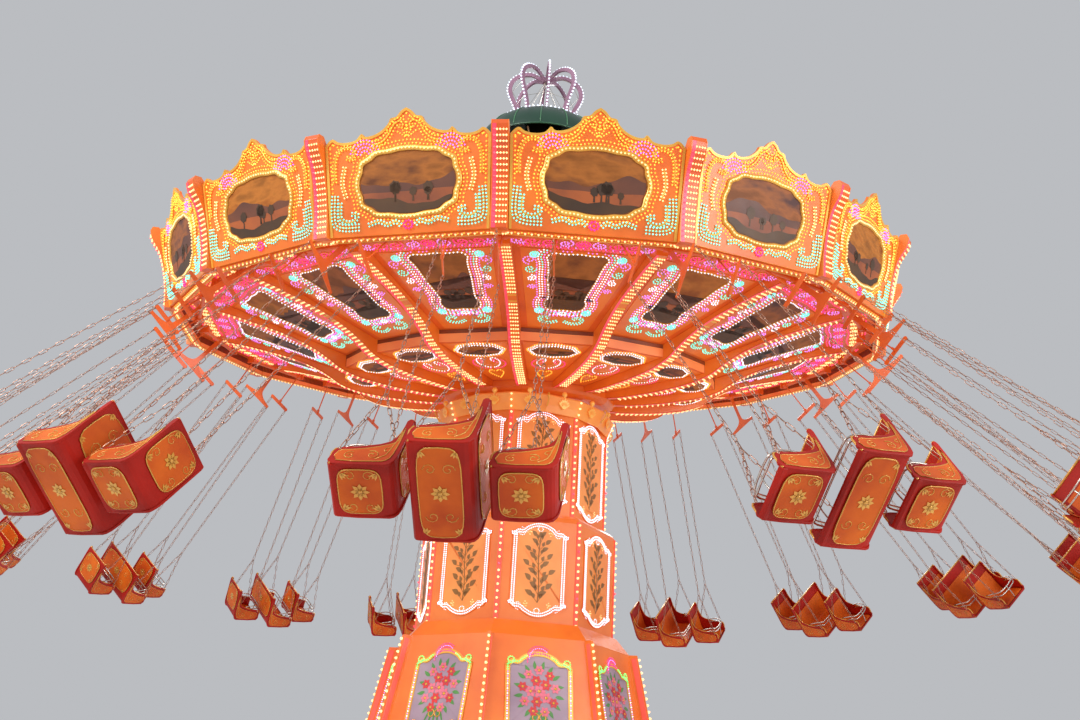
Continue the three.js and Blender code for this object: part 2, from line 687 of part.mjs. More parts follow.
// How far a set has swung out from the canopy's own axis at an azimuth, in degrees.
function swingAngle(azimuth) {
  const a = radians(azimuth);
  const mean = (SWING_NEAR + SWING_FAR + SWING_RIGHT + SWING_LEFT) / 4;
  const nearFar = (SWING_NEAR - SWING_FAR) / 2;
  const rightLeft = (SWING_RIGHT - SWING_LEFT) / 2;
  const side = (SWING_RIGHT + SWING_LEFT - SWING_NEAR - SWING_FAR) / 4;
  const fromVertical = mean + nearFar * Math.cos(a) + rightLeft * Math.sin(a) - side * Math.cos(2 * a);
  return fromVertical + TILT * Math.cos(a - radians(LOW_AZIMUTH));
}

function canopy() {
  const group = new THREE.Group();
  const low = radians(LOW_AZIMUTH);
  group.position.z = CANOPY_HEIGHT;
  group.setRotationFromAxisAngle(new THREE.Vector3(Math.cos(low), Math.sin(low), 0), radians(TILT));
  group.add(tiltRing(), hubWall(), hubLip(), hubBowl(), sweepFrame(), soffitInner(), stepRiser(), soffitOuter());
  group.add(soffitEdge(), rimRing(), roofWall());
  group.add(roofBand("roof_lower", ROOF_WALL_RADIUS, ROOF_SEAM_RADIUS));
  group.add(roofBand("roof_upper", clearRadius(ROOF_SEAM_RADIUS, SIDES, -SEAT), ROOF_TOP_RADIUS));
  for (let i = 0; i < SIDES; i += 1) {
    group.add(fascia(i), swingSet(i));
  }
  return group;
}

const ride = new THREE.Group();
ride.add(groundFrame(), baseSkirt(), skirtShoulder(), innerMast(), middleCasing(), upperCasing(), collar());
ride.add(mast(), dome(), crown());
ride.add(canopy());

export default ride;
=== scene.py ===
"""Chair swing ride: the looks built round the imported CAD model. Metres, +Z up, origin on the ground.

Flat decoration is laid out on a face: x runs to the right as seen from outside, y runs up or
outward, and z stands off the face. Azimuths are in degrees: 0 points along -Y, growing towards +X.
"""
import json
import math
import bpy
import numpy as np
from mathutils import Matrix, Vector


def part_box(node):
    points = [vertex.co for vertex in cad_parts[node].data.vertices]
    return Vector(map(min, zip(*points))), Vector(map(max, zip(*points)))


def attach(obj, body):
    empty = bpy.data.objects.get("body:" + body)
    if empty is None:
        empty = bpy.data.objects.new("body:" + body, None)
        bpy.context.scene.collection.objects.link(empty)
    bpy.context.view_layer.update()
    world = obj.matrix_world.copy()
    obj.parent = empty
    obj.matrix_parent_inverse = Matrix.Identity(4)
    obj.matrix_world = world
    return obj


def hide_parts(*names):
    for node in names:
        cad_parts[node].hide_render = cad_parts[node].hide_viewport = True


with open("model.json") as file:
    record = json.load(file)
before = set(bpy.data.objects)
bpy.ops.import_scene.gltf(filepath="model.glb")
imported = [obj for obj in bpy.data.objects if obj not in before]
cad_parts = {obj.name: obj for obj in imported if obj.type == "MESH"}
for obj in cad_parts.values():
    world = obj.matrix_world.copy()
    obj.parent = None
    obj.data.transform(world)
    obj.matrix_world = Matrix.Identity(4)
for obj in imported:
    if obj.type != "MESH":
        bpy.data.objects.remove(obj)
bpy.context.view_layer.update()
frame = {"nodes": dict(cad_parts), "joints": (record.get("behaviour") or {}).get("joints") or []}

# Camera, fitted to the photograph
CAMERA_PLACE = (0.786, -15.797, 1.710)
CAMERA_RIGHT = (0.9985, 0.0177, 0.0525)
CAMERA_UP = (-0.0418, -0.3831, 0.9227)
CAMERA_BACK = (0.0364, -0.9235, -0.3818)
CAMERA_LENS = 37.37
CAMERA_SENSOR = 36

# Tower, as in the CAD model
TOWER_SIDES = 8
TOWER_PHASE = -6.7
TOWER_TURN = 360 / TOWER_SIDES
FACE_COSINE = math.cos(math.pi / TOWER_SIDES)
UPPER_RADIUS = 1.217
MIDDLE_RADIUS = 1.385
SKIRT_TOP_RADIUS = 1.62
SKIRT_FOOT_RADIUS = 2.4
SKIRT_TOP = 3.88
SKIRT_FOOT = 0.16
SKIRT_FLARE = SKIRT_FOOT_RADIUS - SKIRT_TOP_RADIUS
SKIRT_RISE = SKIRT_TOP - SKIRT_FOOT
FLANGE_DEPTH = 0.11
# Casings: name, body, radius, top, foot, pairs of leaves in a spray
CASINGS = (("upper_tower", "tower_upper", UPPER_RADIUS, 7.0, 5.61, 11),
           ("middle_tower", "tower_middle", MIDDLE_RADIUS, 5.38, 4.17, 9))

# Canopy, measured from its own centre
SIDES = 16
BAY = 360 / SIDES
PHASE = -1.74
BAY_COSINE = math.cos(math.pi / SIDES)
BAY_TANGENT = math.tan(math.pi / SIDES)
CANOPY_CENTRE = (0, 0, 8.4)
TILT = 8.7
LOW_AZIMUTH = -7
RIM_RADIUS = 5.251
RIM_INNER_RADIUS = 5.16
SOFFIT_EDGE_HEIGHT = 0.145
SOFFIT_BEND_RADIUS = 4.45
SOFFIT_BEND_HEIGHT = 0.095
STEP_RADIUS = 2.8
STEP_TOP = -0.42
STEP_FOOT = -0.59
HUB_RADIUS = 1.3
HUB_PANEL_HEIGHT = -0.77
RIB_WIDTH = 0.15
# Line of a rib's underside, in (radius, height)
RIB_UNDERSIDE = [(1.32, -0.85), (1.55, -0.85), (2.0, -0.812), (2.3, -0.768), (2.55, -0.722), (2.75, -0.66),
                 (2.9, -0.592), (3.02, -0.51), (3.2, -0.4), (3.42, -0.297), (3.65, -0.212), (3.9, -0.142),
                 (4.17, -0.078), (4.4, -0.025), (4.7, 0.028)]
# Half width that the outer soffit's bulbs keep within: at its inner end, and the growth to its outer end
SOFFIT_MARGIN = 0.41
SOFFIT_SPREAD = 0.3
# Parts of a rib that carry bulbs: inner radius, outer radius, spacing of the rows
RIB_SECTIONS = ((1.44, 2.86, 0.08), (2.84, 3.44, 0.065), (3.63, 4.68, 0.076))
ROOF_EAVES = (4.9, 1.0)
ROOF_TOP = (1.05, 2.85)
CROWN_PHASE = 7
BOARD_FOOT = 5.1503
BOARD_SLOPE = 12.4
BOARD_WALL = 0.035
BRACKET_WIDTH = 0.19

# Chairs
PIVOT_RADIUS = 4.85
HANGER_DROP = 0.61
CHAIN_LENGTH = 4.8
SPLIT_DROP = 3.8
CHAIR_SPACING = 0.6
DOUBLE_WIDTH = 0.92
SINGLE_WIDTH = 0.5

# How far the back of a piece stands off the face that carries it
GAP = 0.0005
# Turns (radius, height, across) into a place over azimuth 0
RADIAL = Matrix(((0, 0, 1, 0), (-1, 0, 0, 0), (0, 1, 0, 0), (0, 0, 0, 1)))
# Turns (inward, up, along the pivot tube) into a place on a set of chairs
ACROSS = Matrix(((0, 0, 1, 0), (1, 0, 0, 0), (0, 1, 0, 0), (0, 0, 0, 1)))


# Places and paths

def shift(x, y, z):
    return Matrix.Translation((x, y, z))


def spin(degrees, axis):
    return Matrix.Rotation(math.radians(degrees), 4, axis)


def turn(azimuth):
    return spin(azimuth, "Z")


def facing(azimuth, radius, height, pitch):
    """A face whose origin is at that radius and height: pitch 90 is upright, 180 faces the ground."""
    return turn(azimuth) @ shift(0, -radius, height) @ spin(pitch, "X")


TILT_AXIS = Vector((math.cos(math.radians(LOW_AZIMUTH)), math.sin(math.radians(LOW_AZIMUTH)), 0))
CANOPY = shift(*CANOPY_CENTRE) @ spin(TILT, TILT_AXIS)


def placed(matrix, points):
    m = np.array(matrix)
    return np.asarray(points, float) @ m[:3, :3].T + m[:3, 3]


def smooth(points, steps=6, closed=False):
    """A Catmull-Rom curve through the points."""
    p = np.asarray(points, float)
    if closed:
        p = np.vstack([p[-1], p, p[0], p[1]])
    else:
        p = np.vstack([2 * p[0] - p[1], p, 2 * p[-1] - p[-2]])
    t = np.linspace(0, 1, steps, endpoint=False)[:, None]
    parts = []
    for a, b, c, d in zip(p[:-3], p[1:-2], p[2:-1], p[3:]):
        square, cube = 2 * a - 5 * b + 4 * c - d, 3 * b - a - 3 * c + d
        parts.append(0.5 * (2 * b + (c - a) * t + square * t**2 + cube * t**3))
    curve = np.vstack(parts)
    return curve if closed else np.vstack([curve, p[-2]])


def resampled(points, spacing):
    """Points at an even spacing along a path."""
    p = np.asarray(points, float)
    lengths = np.linalg.norm(np.diff(p, axis=0), axis=1)
    along = np.concatenate([[0], np.cumsum(lengths)])
    count = max(2, int(round(along[-1] / spacing)) + 1)
    at = np.linspace(0, along[-1], count)
    return np.stack([np.interp(at, along, p[:, k]) for k in range(p.shape[1])], axis=1)


def offset(points, distance):
    """A flat path moved sideways, to its left."""
    p = np.asarray(points, float)
    along = np.gradient(p, axis=0)
    along /= np.maximum(np.linalg.norm(along, axis=1, keepdims=True), 1e-9)
    return p + distance * pairs(-along[:, 1], along[:, 0])


def mirrored(points):
    return np.asarray(points, float) * [-1, 1]


def pairs(x, y):
    """Flat points from their x and y, either of which may be one number for all."""
    return np.column_stack(np.broadcast_arrays(x, y))


def lifted(points, z):
    p = np.asarray(points, float)
    return np.column_stack([p, np.full(len(p), z)])


def round_path(centre, half_width, half_height, angle):
    return pairs(centre[0] + half_width * np.cos(angle), centre[1] + half_height * np.sin(angle))


def spiral(centre, start, turns, outer, inner, steps=11):
    """A scroll that winds in from its outer radius, counter-clockwise for positive turns."""
    t = np.linspace(0, 1, int(steps * abs(turns)) + 2)
    radius = outer + (inner - outer) * t
    return round_path(centre, radius, radius, np.radians(start) + 2 * math.pi * turns * t)


def ellipse(centre, half_width, half_height, steps):
    return round_path(centre, half_width, half_height, corner_angles(steps))


def corner_angles(sides):
    return 2 * math.pi * np.arange(sides) / sides


def rectangle(left, right, low, high):
    return np.array([(left, low), (right, low), (right, high), (left, high)], float)


def symmetric(right):
    """A closed outline from its right half, which starts and ends on the middle line."""
    return np.vstack([right, mirrored(right)[::-1][1:-1]])


def spaced_round(outline, spacing):
    """Points at an even spacing round a closed outline."""
    return resampled(np.vstack([outline, outline[:1]]), spacing)[:-1]


# Shapes: (vertices, faces)

def counter_clockwise(p):
    """The numbers of an outline's points, in the order that runs counter-clockwise."""
    area = np.sum(p[:, 0] * np.roll(p[:, 1], -1) - np.roll(p[:, 0], -1) * p[:, 1])
    order = list(range(len(p)))
    return order if area > 0 else order[::-1]


def slab(outline, low, high):
    """A flat shape between two heights over its face."""
    p = np.asarray(outline, float)
    n = len(p)
    vertices = np.vstack([lifted(p, low), lifted(p, high)])
    order = counter_clockwise(p)
    faces = [[n + i for i in order], order[::-1]]
    for a, b in zip(order, order[1:] + order[:1]):
        faces.append([a, b, n + b, n + a])
    return vertices, faces


def flat(outline, z):
    """A painted shape laid on a face, without edges."""
    p = np.asarray(outline, float)
    return lifted(p, z), [counter_clockwise(p)]


def raised(outline, low, high):
    """A flat shape with edges but no back, for what stands on a face."""
    vertices, faces = slab(outline, low, high)
    return vertices, [faces[0]] + faces[2:]


def ring_slab(outer, inner, low, high):
    """A flat frame, without its back, between two closed outlines with as many points each."""
    n = len(outer)
    vertices = np.vstack([lifted(outer, low), lifted(outer, high), lifted(inner, low), lifted(inner, high)])
    faces = []
    for i in range(n):
        j = (i + 1) % n
        faces += [[n + i, n + j, 3 * n + j, 3 * n + i], [i, j, n + j, n + i],
                  [2 * n + i, 3 * n + i, 3 * n + j, 2 * n + j]]
    return vertices, faces


def skin(rings, sides, closed):
    """Faces between rings of as many points each."""
    faces = []
    for i in range(rings if closed else rings - 1):
        j = (i + 1) % rings
        for k in range(sides):
            m = (k + 1) % sides
            faces.append([i * sides + k, i * sides + m, j * sides + m, j * sides + k])
    return faces


def tube(path, radius, sides=6, closed=False):
    """A round bar along a path in space."""
    p = np.asarray(path, float)
    n = len(p)
    along = np.roll(p, -1, axis=0) - np.roll(p, 1, axis=0) if closed else np.gradient(p, axis=0)
    along /= np.maximum(np.linalg.norm(along, axis=1, keepdims=True), 1e-9)
    across = np.zeros((n, 3))
    side = np.cross(along[0], [0.0, 0.0, 1.0])
    if np.linalg.norm(side) < 0.2:
        side = np.cross(along[0], [1.0, 0.0, 0.0])
    for i in range(n):
        side = side - along[i] * np.dot(side, along[i])
        side /= max(np.linalg.norm(side), 1e-9)
        across[i] = side
    third = np.cross(along, across)
    angles = corner_angles(sides)[None, :, None]
    ring = np.cos(angles) * across[:, None] + np.sin(angles) * third[:, None]
    vertices = (p[:, None] + radius * ring).reshape(-1, 3)
    faces = skin(n, sides, closed)
    if not closed:
        faces += [list(range(sides))[::-1], [(n - 1) * sides + k for k in range(sides)]]
    return vertices, faces


def lathe(profile, sides, closed=True):
    """A round or many-sided ring about Z from [radius, height] pairs, corners at azimuth 0."""
    p = np.asarray(profile, float)
    angles = corner_angles(sides)
    vertices = np.stack([np.outer(p[:, 0], np.sin(angles)), -np.outer(p[:, 0], np.cos(angles)),
                         np.repeat(p[:, 1:2], sides, axis=1)], axis=2).reshape(-1, 3)
    return vertices, skin(len(p), sides, closed)


def prism(start, end, width, height):
    """A straight flat bar between two points: width lies level, height stands across it."""
    a, b = Vector(start), Vector(end)
    along = (b - a).normalized()
    side = along.cross(Vector((0, 0, 1)))
    side = side.normalized() if side.length > 1e-6 else Vector((1, 0, 0))
    up = side.cross(along)
    vertices = []
    for point in (a, b):
        for u, v in ((-1, -1), (1, -1), (1, 1), (-1, 1)):
            vertices.append(point + side * (u * width / 2) + up * (v * height / 2))
    faces = [[3, 2, 1, 0], [4, 5, 6, 7], [0, 1, 5, 4], [1, 2, 6, 5], [2, 3, 7, 6], [3, 0, 4, 7]]
    return np.array([tuple(v) for v in vertices]), faces


def bulb_shape(sides):
    """A domed bulb with a shoulder and a tip, one unit in radius and height."""
    circle = ellipse((0, 0), 1, 1, sides)
    vertices = np.vstack([lifted(circle, 0), lifted(0.82 * circle, 0.62), [[0, 0, 1]]])
    faces = []
    for k in range(sides):
        m = (k + 1) % sides
        faces += [[k, m, sides + m, sides + k], [sides + k, sides + m, 2 * sides]]
    return vertices, faces


def spark_shape(sides):
    """A small bulb: a pointed dome."""
    vertices = np.vstack([lifted(ellipse((0, 0), 1.1, 1.1, sides), 0), [[0, 0, 1]]])
    return vertices, [[k, (k + 1) % sides, sides] for k in range(sides)]


BULB = bulb_shape(5)
SPARK = spark_shape(4)
# Bulbs narrower than this have the plainer shape
SPARK_SIZE = 0.033
# Width of the bulbs in most of the coloured rows
SMALL_BULB = 0.022
# Height of a bulb as a share of its width
BULB_HEIGHT = 0.8


class Pile:
    """Collects many shapes into one mesh object."""

    def __init__(self):
        self.vertices = []
        self.faces = []
        self.count = 0

    def add(self, shape, matrix=None):
        vertices, faces = shape
        if matrix is not None:
            vertices = placed(matrix, vertices)
        self.vertices.append(np.asarray(vertices, float))
        self.faces.extend([[i + self.count for i in face] for face in faces])
        self.count += len(vertices)

    def bulbs(self, points, size, matrix, z):
        """Bulbs at flat points on a face."""
        vertices, faces = BULB if size >= SPARK_SIZE else SPARK
        scale = np.array([size / 2, size / 2, size * BULB_HEIGHT])
        cloud = (lifted(points, z)[:, None] + (vertices * scale)[None]).reshape(-1, 3)
        self.vertices.append(placed(matrix, cloud))
        for start in range(self.count, self.count + len(cloud), len(vertices)):
            self.faces.extend([[start + k for k in face] for face in faces])
        self.count += len(cloud)

    def make(self, name, material, body, shade_smooth=False, bevel=0.0):
        mesh = bpy.data.meshes.new(name)
        mesh.from_pydata(np.vstack(self.vertices).tolist(), [], self.faces)
        mesh.validate()
        if shade_smooth:
            mesh.shade_smooth()
        mesh.materials.append(material)
        obj = bpy.data.objects.new(name, mesh)
        bpy.context.scene.collection.objects.link(obj)
        if bevel:
            edge = obj.modifiers.new("bevel", "BEVEL")
            edge.width = bevel
            edge.segments = 1
            edge.limit_method = "ANGLE"
            edge.angle_limit = math.radians(35)
        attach(obj, body)
        return obj


def piles(count):
    return [Pile() for _ in range(count)]


# Materials

class Finish:
    """A material under construction: the sockets of its shader, and the nodes that feed them."""

    def __init__(self, name):
        self.material = bpy.data.materials.new(name)
        self.material.use_nodes = True
        self.nodes = self.material.node_tree.nodes
        self.link = self.material.node_tree.links.new
        self.inputs = self.nodes["Principled BSDF"].inputs

    def set(self, **sockets):
        """Plain values for the shader, named like its sockets with underscores for spaces."""
        for name, value in sockets.items():
            self.inputs[name.replace("_", " ")].default_value = value

    def noise(self, scale, detail=4.0, stretch=(1, 1, 1)):
        """Noise over the place in space, stretched along an axis where asked."""
        texture = self.nodes.new("ShaderNodeTexNoise")
        texture.inputs["Scale"].default_value = scale
        texture.inputs["Detail"].default_value = detail
        source = self.nodes.new("ShaderNodeTexCoord").outputs["Object"]
        if stretch != (1, 1, 1):
            mapping = self.nodes.new("ShaderNodeMapping")
            mapping.inputs["Scale"].default_value = stretch
            self.link(source, mapping.inputs["Vector"])
            source = mapping.outputs["Vector"]
        self.link(source, texture.inputs["Vector"])
        return texture.outputs["Fac"]

    def tint(self, source, stops):
        """Base colour from a ramp of (position, colour) stops."""
        node = self.nodes.new("ShaderNodeValToRGB")
        elements = node.color_ramp.elements
        while len(elements) < len(stops):
            elements.new(0.5)
        for element, (position, colour) in zip(elements, stops):
            element.position = position
            element.color = (*colour, 1)
        self.link(source, node.inputs["Fac"])
        self.link(node.outputs["Color"], self.inputs["Base Color"])
        return node.outputs["Color"]

    def bump(self, source, strength, distance=0.002):
        node = self.nodes.new("ShaderNodeBump")
        node.inputs["Strength"].default_value = strength
        node.inputs["Distance"].default_value = distance
        self.link(source, node.inputs["Height"])
        self.link(node.outputs["Normal"], self.inputs["Normal"])


def paint(name, colour, shade, roughness=0.35, metallic=0.0, coat=0.3, glow=0.0, sheen=0.5):
    """Enamel with cloudy brushed colour, fine orange peel and patchy gloss; where glow is given, painted
    light: the paint also shines in its own colour, as if lit from within, though it is no lamp.
    """
    finish = Finish(name)
    tint = finish.tint(finish.noise(1.7, 6.0), [(0.3, shade), (0.62, colour)])
    gloss = finish.nodes.new("ShaderNodeMapRange")
    gloss.inputs["To Min"].default_value = roughness - 0.08
    gloss.inputs["To Max"].default_value = roughness + 0.14
    finish.link(finish.noise(9.0, 5.0), gloss.inputs["Value"])
    finish.link(gloss.outputs["Result"], finish.inputs["Roughness"])
    finish.set(Metallic=metallic, Coat_Weight=coat, Specular_IOR_Level=sheen, Coat_Roughness=0.18)
    finish.bump(finish.noise(60.0, 3.0), 0.12)
    # Painted light: the enamel glows in its tint, though it is no lamp
    if glow:
        finish.link(tint, finish.inputs["Emission Color"])
        finish.set(Emission_Strength=glow)
    return finish.material


def lamp(name, colour, edge, strength):
    """A lit bulb whose colour and brightness vary a little from bulb to bulb."""
    finish = Finish(name)
    tint = finish.tint(finish.noise(23.0, 1.0), [(0.35, edge), (0.6, colour)])
    finish.link(tint, finish.inputs["Emission Color"])
    finish.set(Emission_Strength=strength, Roughness=0.15)
    return finish.material


def metal(name, colour, roughness):
    finish = Finish(name)
    streak = finish.noise(30.0, 4.0, (1, 1, 0.1))
    finish.tint(streak, [(0.3, [0.7 * c for c in colour]), (0.7, colour)])
    finish.set(Metallic=0.9, Roughness=roughness)
    finish.bump(streak, 0.08)
    return finish.material


def picture_sky(name, low, high):
    finish = Finish(name)
    cloud = finish.noise(2.4, 7.0, (1, 1, 2.6))
    finish.tint(cloud, [(0.32, low), (0.52, high), (0.66, [0.6 * c for c in high])])
    finish.set(Roughness=0.5, Specular_IOR_Level=0.2)
    finish.bump(finish.noise(90.0, 2.0), 0.15, 0.001)
    return finish.material


# Painted light: each glow below makes the paint shine as if lit by the bulbs, though it is no lamp
ORANGE = paint("orange_enamel", (0.84, 0.19, 0.018), (0.72, 0.13, 0.012), glow=0.14)
DEEP_ORANGE = paint("deep_orange_enamel", (0.78, 0.13, 0.015), (0.6, 0.08, 0.01), glow=0.12)
PEACH = paint("peach_enamel", (0.82, 0.21, 0.035), (0.74, 0.15, 0.02), glow=0.14)
PEACH_PANEL = paint("peach_panel", (0.86, 0.3, 0.06), (0.76, 0.2, 0.035), glow=0.16)
GOLD = paint("gold_enamel", (0.9, 0.5, 0.08), (0.7, 0.3, 0.03), roughness=0.28, metallic=0.35, glow=0.1)
BROWN = paint("leaf_brown", (0.3, 0.13, 0.015), (0.2, 0.075, 0.01), glow=0.02)
# Painted shade: the red-brown of the step's shadow gap and of the rim's inner face in its slot, dark because
# they lie in shade
SHADE_BROWN = paint("riser_painted_shade", (0.28, 0.06, 0.015), (0.2, 0.035, 0.01))
CREAM = paint("louvre_cream", (0.62, 0.42, 0.24), (0.48, 0.3, 0.15))
GREEN = paint("dome_green", (0.016, 0.06, 0.035), (0.009, 0.038, 0.024), coat=0.15)
SEAM_GREEN = paint("seam_green", (0.07, 0.22, 0.1), (0.04, 0.14, 0.07))
COLLAR_ORANGE = paint("collar_orange", (0.88, 0.33, 0.06), (0.8, 0.23, 0.035), glow=0.16)
PALE_GOLD = paint("collar_pale_gold", (0.95, 0.5, 0.1), (0.85, 0.36, 0.05), roughness=0.3, metallic=0.15,
                  glow=0.18)
# Painted light: a bright, glowing pink-orange that stands for the lit band of the step and the lit lip of the
# rim
LIT_PINK_ORANGE = paint("pink_orange_painted_light", (0.9, 0.27, 0.08), (0.8, 0.19, 0.06), glow=0.25)
MAUVE = paint("crown_mauve", (0.38, 0.2, 0.29), (0.28, 0.14, 0.21), glow=0.08)
GREY_PURPLE = paint("bouquet_ground", (0.42, 0.3, 0.36), (0.3, 0.2, 0.27), glow=0.05)
RED = paint("rose_red", (0.75, 0.03, 0.03), (0.5, 0.01, 0.02), glow=0.08)
PINK = paint("rose_pink", (0.85, 0.2, 0.28), (0.7, 0.1, 0.16), glow=0.08)
LEAF_GREEN = paint("leaf_green", (0.1, 0.32, 0.06), (0.05, 0.2, 0.03), glow=0.04)
DARK_STEEL = metal("dark_steel", (0.12, 0.11, 0.1), 0.5)
CHROME = metal("pale_tube", (0.75, 0.68, 0.6), 0.2)
CHAIN_STEEL = metal("chain_steel", (0.62, 0.36, 0.26), 0.35)
SEAT_RED = paint("seat_red", (0.46, 0.014, 0.006), (0.26, 0.008, 0.004), roughness=0.42, coat=0.03,
                 glow=0.05, sheen=0.2)
SEAT_PANEL = paint("seat_panel", (0.75, 0.15, 0.012), (0.45, 0.05, 0.008), roughness=0.42, coat=0.03,
                   glow=0.05, sheen=0.2)
SEAT_GOLD = paint("seat_gold", (0.85, 0.45, 0.08), (0.65, 0.28, 0.04), roughness=0.25, metallic=0.3)
# Painted light: painted strips made to glow brightly in their own colour, though they are no lamps
RED_GLOW = paint("red_glow_strip", (0.92, 0.12, 0.075), (0.86, 0.08, 0.05), glow=0.3)
PINK_GLOW = paint("pink_glow_strip", (0.92, 0.07, 0.13), (0.86, 0.05, 0.09), glow=0.45)
SKIES = (picture_sky("picture_sky_0", (0.24, 0.06, 0.012), (0.5, 0.17, 0.03)),
         picture_sky("picture_sky_1", (0.15, 0.05, 0.02), (0.42, 0.14, 0.03)),
         picture_sky("picture_sky_2", (0.1, 0.045, 0.04), (0.36, 0.12, 0.04)))
FAR_HILLS = paint("picture_far_hills", (0.17, 0.05, 0.02), (0.09, 0.03, 0.018), roughness=0.5, coat=0.1)
NEAR_HILLS = paint("picture_near_hills", (0.05, 0.022, 0.008), (0.1, 0.04, 0.008), roughness=0.5, coat=0.1)
WATER = paint("picture_water", (0.42, 0.1, 0.02), (0.2, 0.05, 0.018), roughness=0.5, coat=0.1)

LAMPS = {"warm": lamp("bulb_warm", (1.0, 0.66, 0.3), (1.0, 0.5, 0.2), 1.5),
         "cool": lamp("bulb_cool_white", (0.86, 0.9, 1.0), (0.72, 0.8, 1.0), 1.15),
         "yellow": lamp("bulb_yellow", (1.0, 0.55, 0.06), (1.0, 0.34, 0.03), 1.15),
         "lilac": lamp("bulb_lilac", (0.75, 0.26, 0.85), (0.62, 0.16, 0.75), 1.0),
         "turquoise": lamp("bulb_turquoise", (0.2, 0.95, 0.8), (0.12, 0.8, 0.6), 1.0),
         "magenta": lamp("bulb_magenta", (0.95, 0.03, 0.26), (0.8, 0.02, 0.16), 0.95),
         "green": lamp("bulb_green", (0.25, 1.0, 0.25), (0.1, 0.8, 0.15), 1.2),
         "red": lamp("bulb_red", (1.0, 0.08, 0.12), (1.0, 0.04, 0.06), 1.5)}


class Lights:
    """The bulbs of one body, sorted by colour."""

    def __init__(self, name, body):
        self.name = name
        self.body = body
        self.piles = {}

    def add(self, colour, points, size, matrix, z=0.0):
        self.piles.setdefault(colour, Pile()).bulbs(points, size, matrix, z)

    def make(self):
        for colour, pile in self.piles.items():
            pile.make(f"{self.name}_bulbs_{colour}", LAMPS[colour], self.body, shade_smooth=True)


# Studio

def studio():
    scene = bpy.context.scene
    camera = bpy.data.objects.new("camera", bpy.data.cameras.new("camera"))
    camera.data.lens = CAMERA_LENS
    camera.data.sensor_width = CAMERA_SENSOR
    rotation = Matrix((CAMERA_RIGHT, CAMERA_UP, CAMERA_BACK)).transposed()
    camera.matrix_world = shift(*CAMERA_PLACE) @ rotation.to_4x4()
    scene.collection.objects.link(camera)
    scene.camera = camera
    scene.view_settings.view_transform = "Standard"
    world = bpy.data.worlds.new("studio")
    world.use_nodes = True
    sky = world.node_tree.nodes["Background"]
    sky.inputs["Color"].default_value = (0.8, 0.82, 0.86, 1)
    sky.inputs["Strength"].default_value = 0.62
    scene.world = world
    vertices, faces = slab(rectangle(-60, 60, -60, 60), -0.02, -0.002)
    mesh = bpy.data.meshes.new("floor")
    mesh.from_pydata(vertices.tolist(), [], faces)
    pale = Finish("floor_pale")
    pale.tint(pale.noise(0.3), [(0.3, (0.7, 0.69, 0.67)), (0.7, (0.74, 0.73, 0.71))])
    mesh.materials.append(pale.material)
    obj = bpy.data.objects.new("floor", mesh)
    scene.collection.objects.link(obj)
    # Each light: place, width, power; all point at the middle of the ride
    middle = Vector((0, 0, 7))
    for name, place, size, power in (("key", (-12, -14, 15), 9, 2600), ("fill", (13, -12, 9), 8, 1300),
                                     ("back", (3, 15, 15), 9, 1500)):
        light = bpy.data.objects.new(name, bpy.data.lights.new(name, "AREA"))
        light.data.energy = power
        light.data.size = size
        light.location = place
        light.rotation_euler = (middle - Vector(place)).to_track_quat("-Z", "Y").to_euler()
        scene.collection.objects.link(light)


# Ornament

def leaf(length, width, bend=0.0):
    """A pointed leaf from its stalk along +x."""
    t = np.linspace(0, 1, 5)
    half = width / 2 * np.sin(math.pi * t**0.8)
    middle = bend * length * t * (1 - t) * 2
    return np.vstack([pairs(length * t, middle + half), pairs(length * t, middle - half)[::-1][1:-1]])


def turned_flat(points, angle, origin):
    c, s = math.cos(math.radians(angle)), math.sin(math.radians(angle))
    p = np.asarray(points, float)
    return pairs(p[:, 0] * c - p[:, 1] * s + origin[0], p[:, 0] * s + p[:, 1] * c + origin[1])


def leaf_spray(pile, matrix, foot, height, spread, rows):
    """Pairs of broad leaves on curved stalks up a slender wavy stem."""
    def stem(share):
        return 0.05 * spread * np.sin(2.2 * math.pi * share)

    def add_leaf(length, width, bend, angle, origin):
        pile.add(flat(turned_flat(leaf(length, width, bend), angle, origin), 0.004), matrix)

    t = np.linspace(0, 1, 24)
    pile.add(tube(lifted(pairs(stem(t), foot + height * t), 0.003), 0.006, 4), matrix)
    for i in range(rows):
        share = i / (rows - 1)
        x = stem(share)
        y = foot + height * (0.04 + 0.92 * share)
        reach = spread * (0.5 + 0.5 * math.sin(math.pi * (0.15 + 0.8 * share)))
        size = 0.125 - 0.03 * share
        lean = 34 + 8 * (i % 3)
        for side in (-1, 1):
            far = reach * (0.62 if (i + (side > 0)) % 2 else 1.0)
            tip = (x + side * (far - size * 0.6), y + 0.05)
            stalk = smooth([(x, y - 0.03), (x + side * 0.4 * far, y + 0.035), tip], 3)
            pile.add(tube(lifted(stalk, 0.002), 0.003, 3), matrix)
            angle = lean if side > 0 else 180 - lean
            add_leaf(size, size * 0.56, 0.2 * side, angle, tip)
            add_leaf(size * 0.7, size * 0.4, 0.2 * side, angle + side * 22, (x + side * 0.28 * far, y + 0.02))
    add_leaf(0.09, 0.05, 0.0, 90, (x, foot + height))


def scalloped_frame(half_width, height, corner):
    """The closed outline of a panel's light frame: waved ends, and straight sides between its corners."""
    foot = [(0.0, 0.0), (0.24, 0.012), (0.5, corner / 2 - 0.02), (0.68, corner - 0.05),
            (0.88, corner - 0.045), (1.0, corner)]
    top = [(1.0, height - corner), (0.86, height - corner + 0.045), (0.66, height - corner + 0.045),
           (0.5, height - corner / 2 + 0.02), (0.24, height - 0.012), (0.0, height)]
    outline = symmetric(np.array(foot + top) * [half_width, 1])
    points = []
    for a, b in zip(outline, np.roll(outline, -1, axis=0)):
        points.append(a)
        if np.linalg.norm(b - a) > 0.5:
            points.extend(a + (b - a) * share for share in (0.04, 0.5, 0.96))
    return smooth(points, 5, closed=True)


# Tower

def tower_face(index):
    return TOWER_PHASE + TOWER_TURN * (index + 0.5)


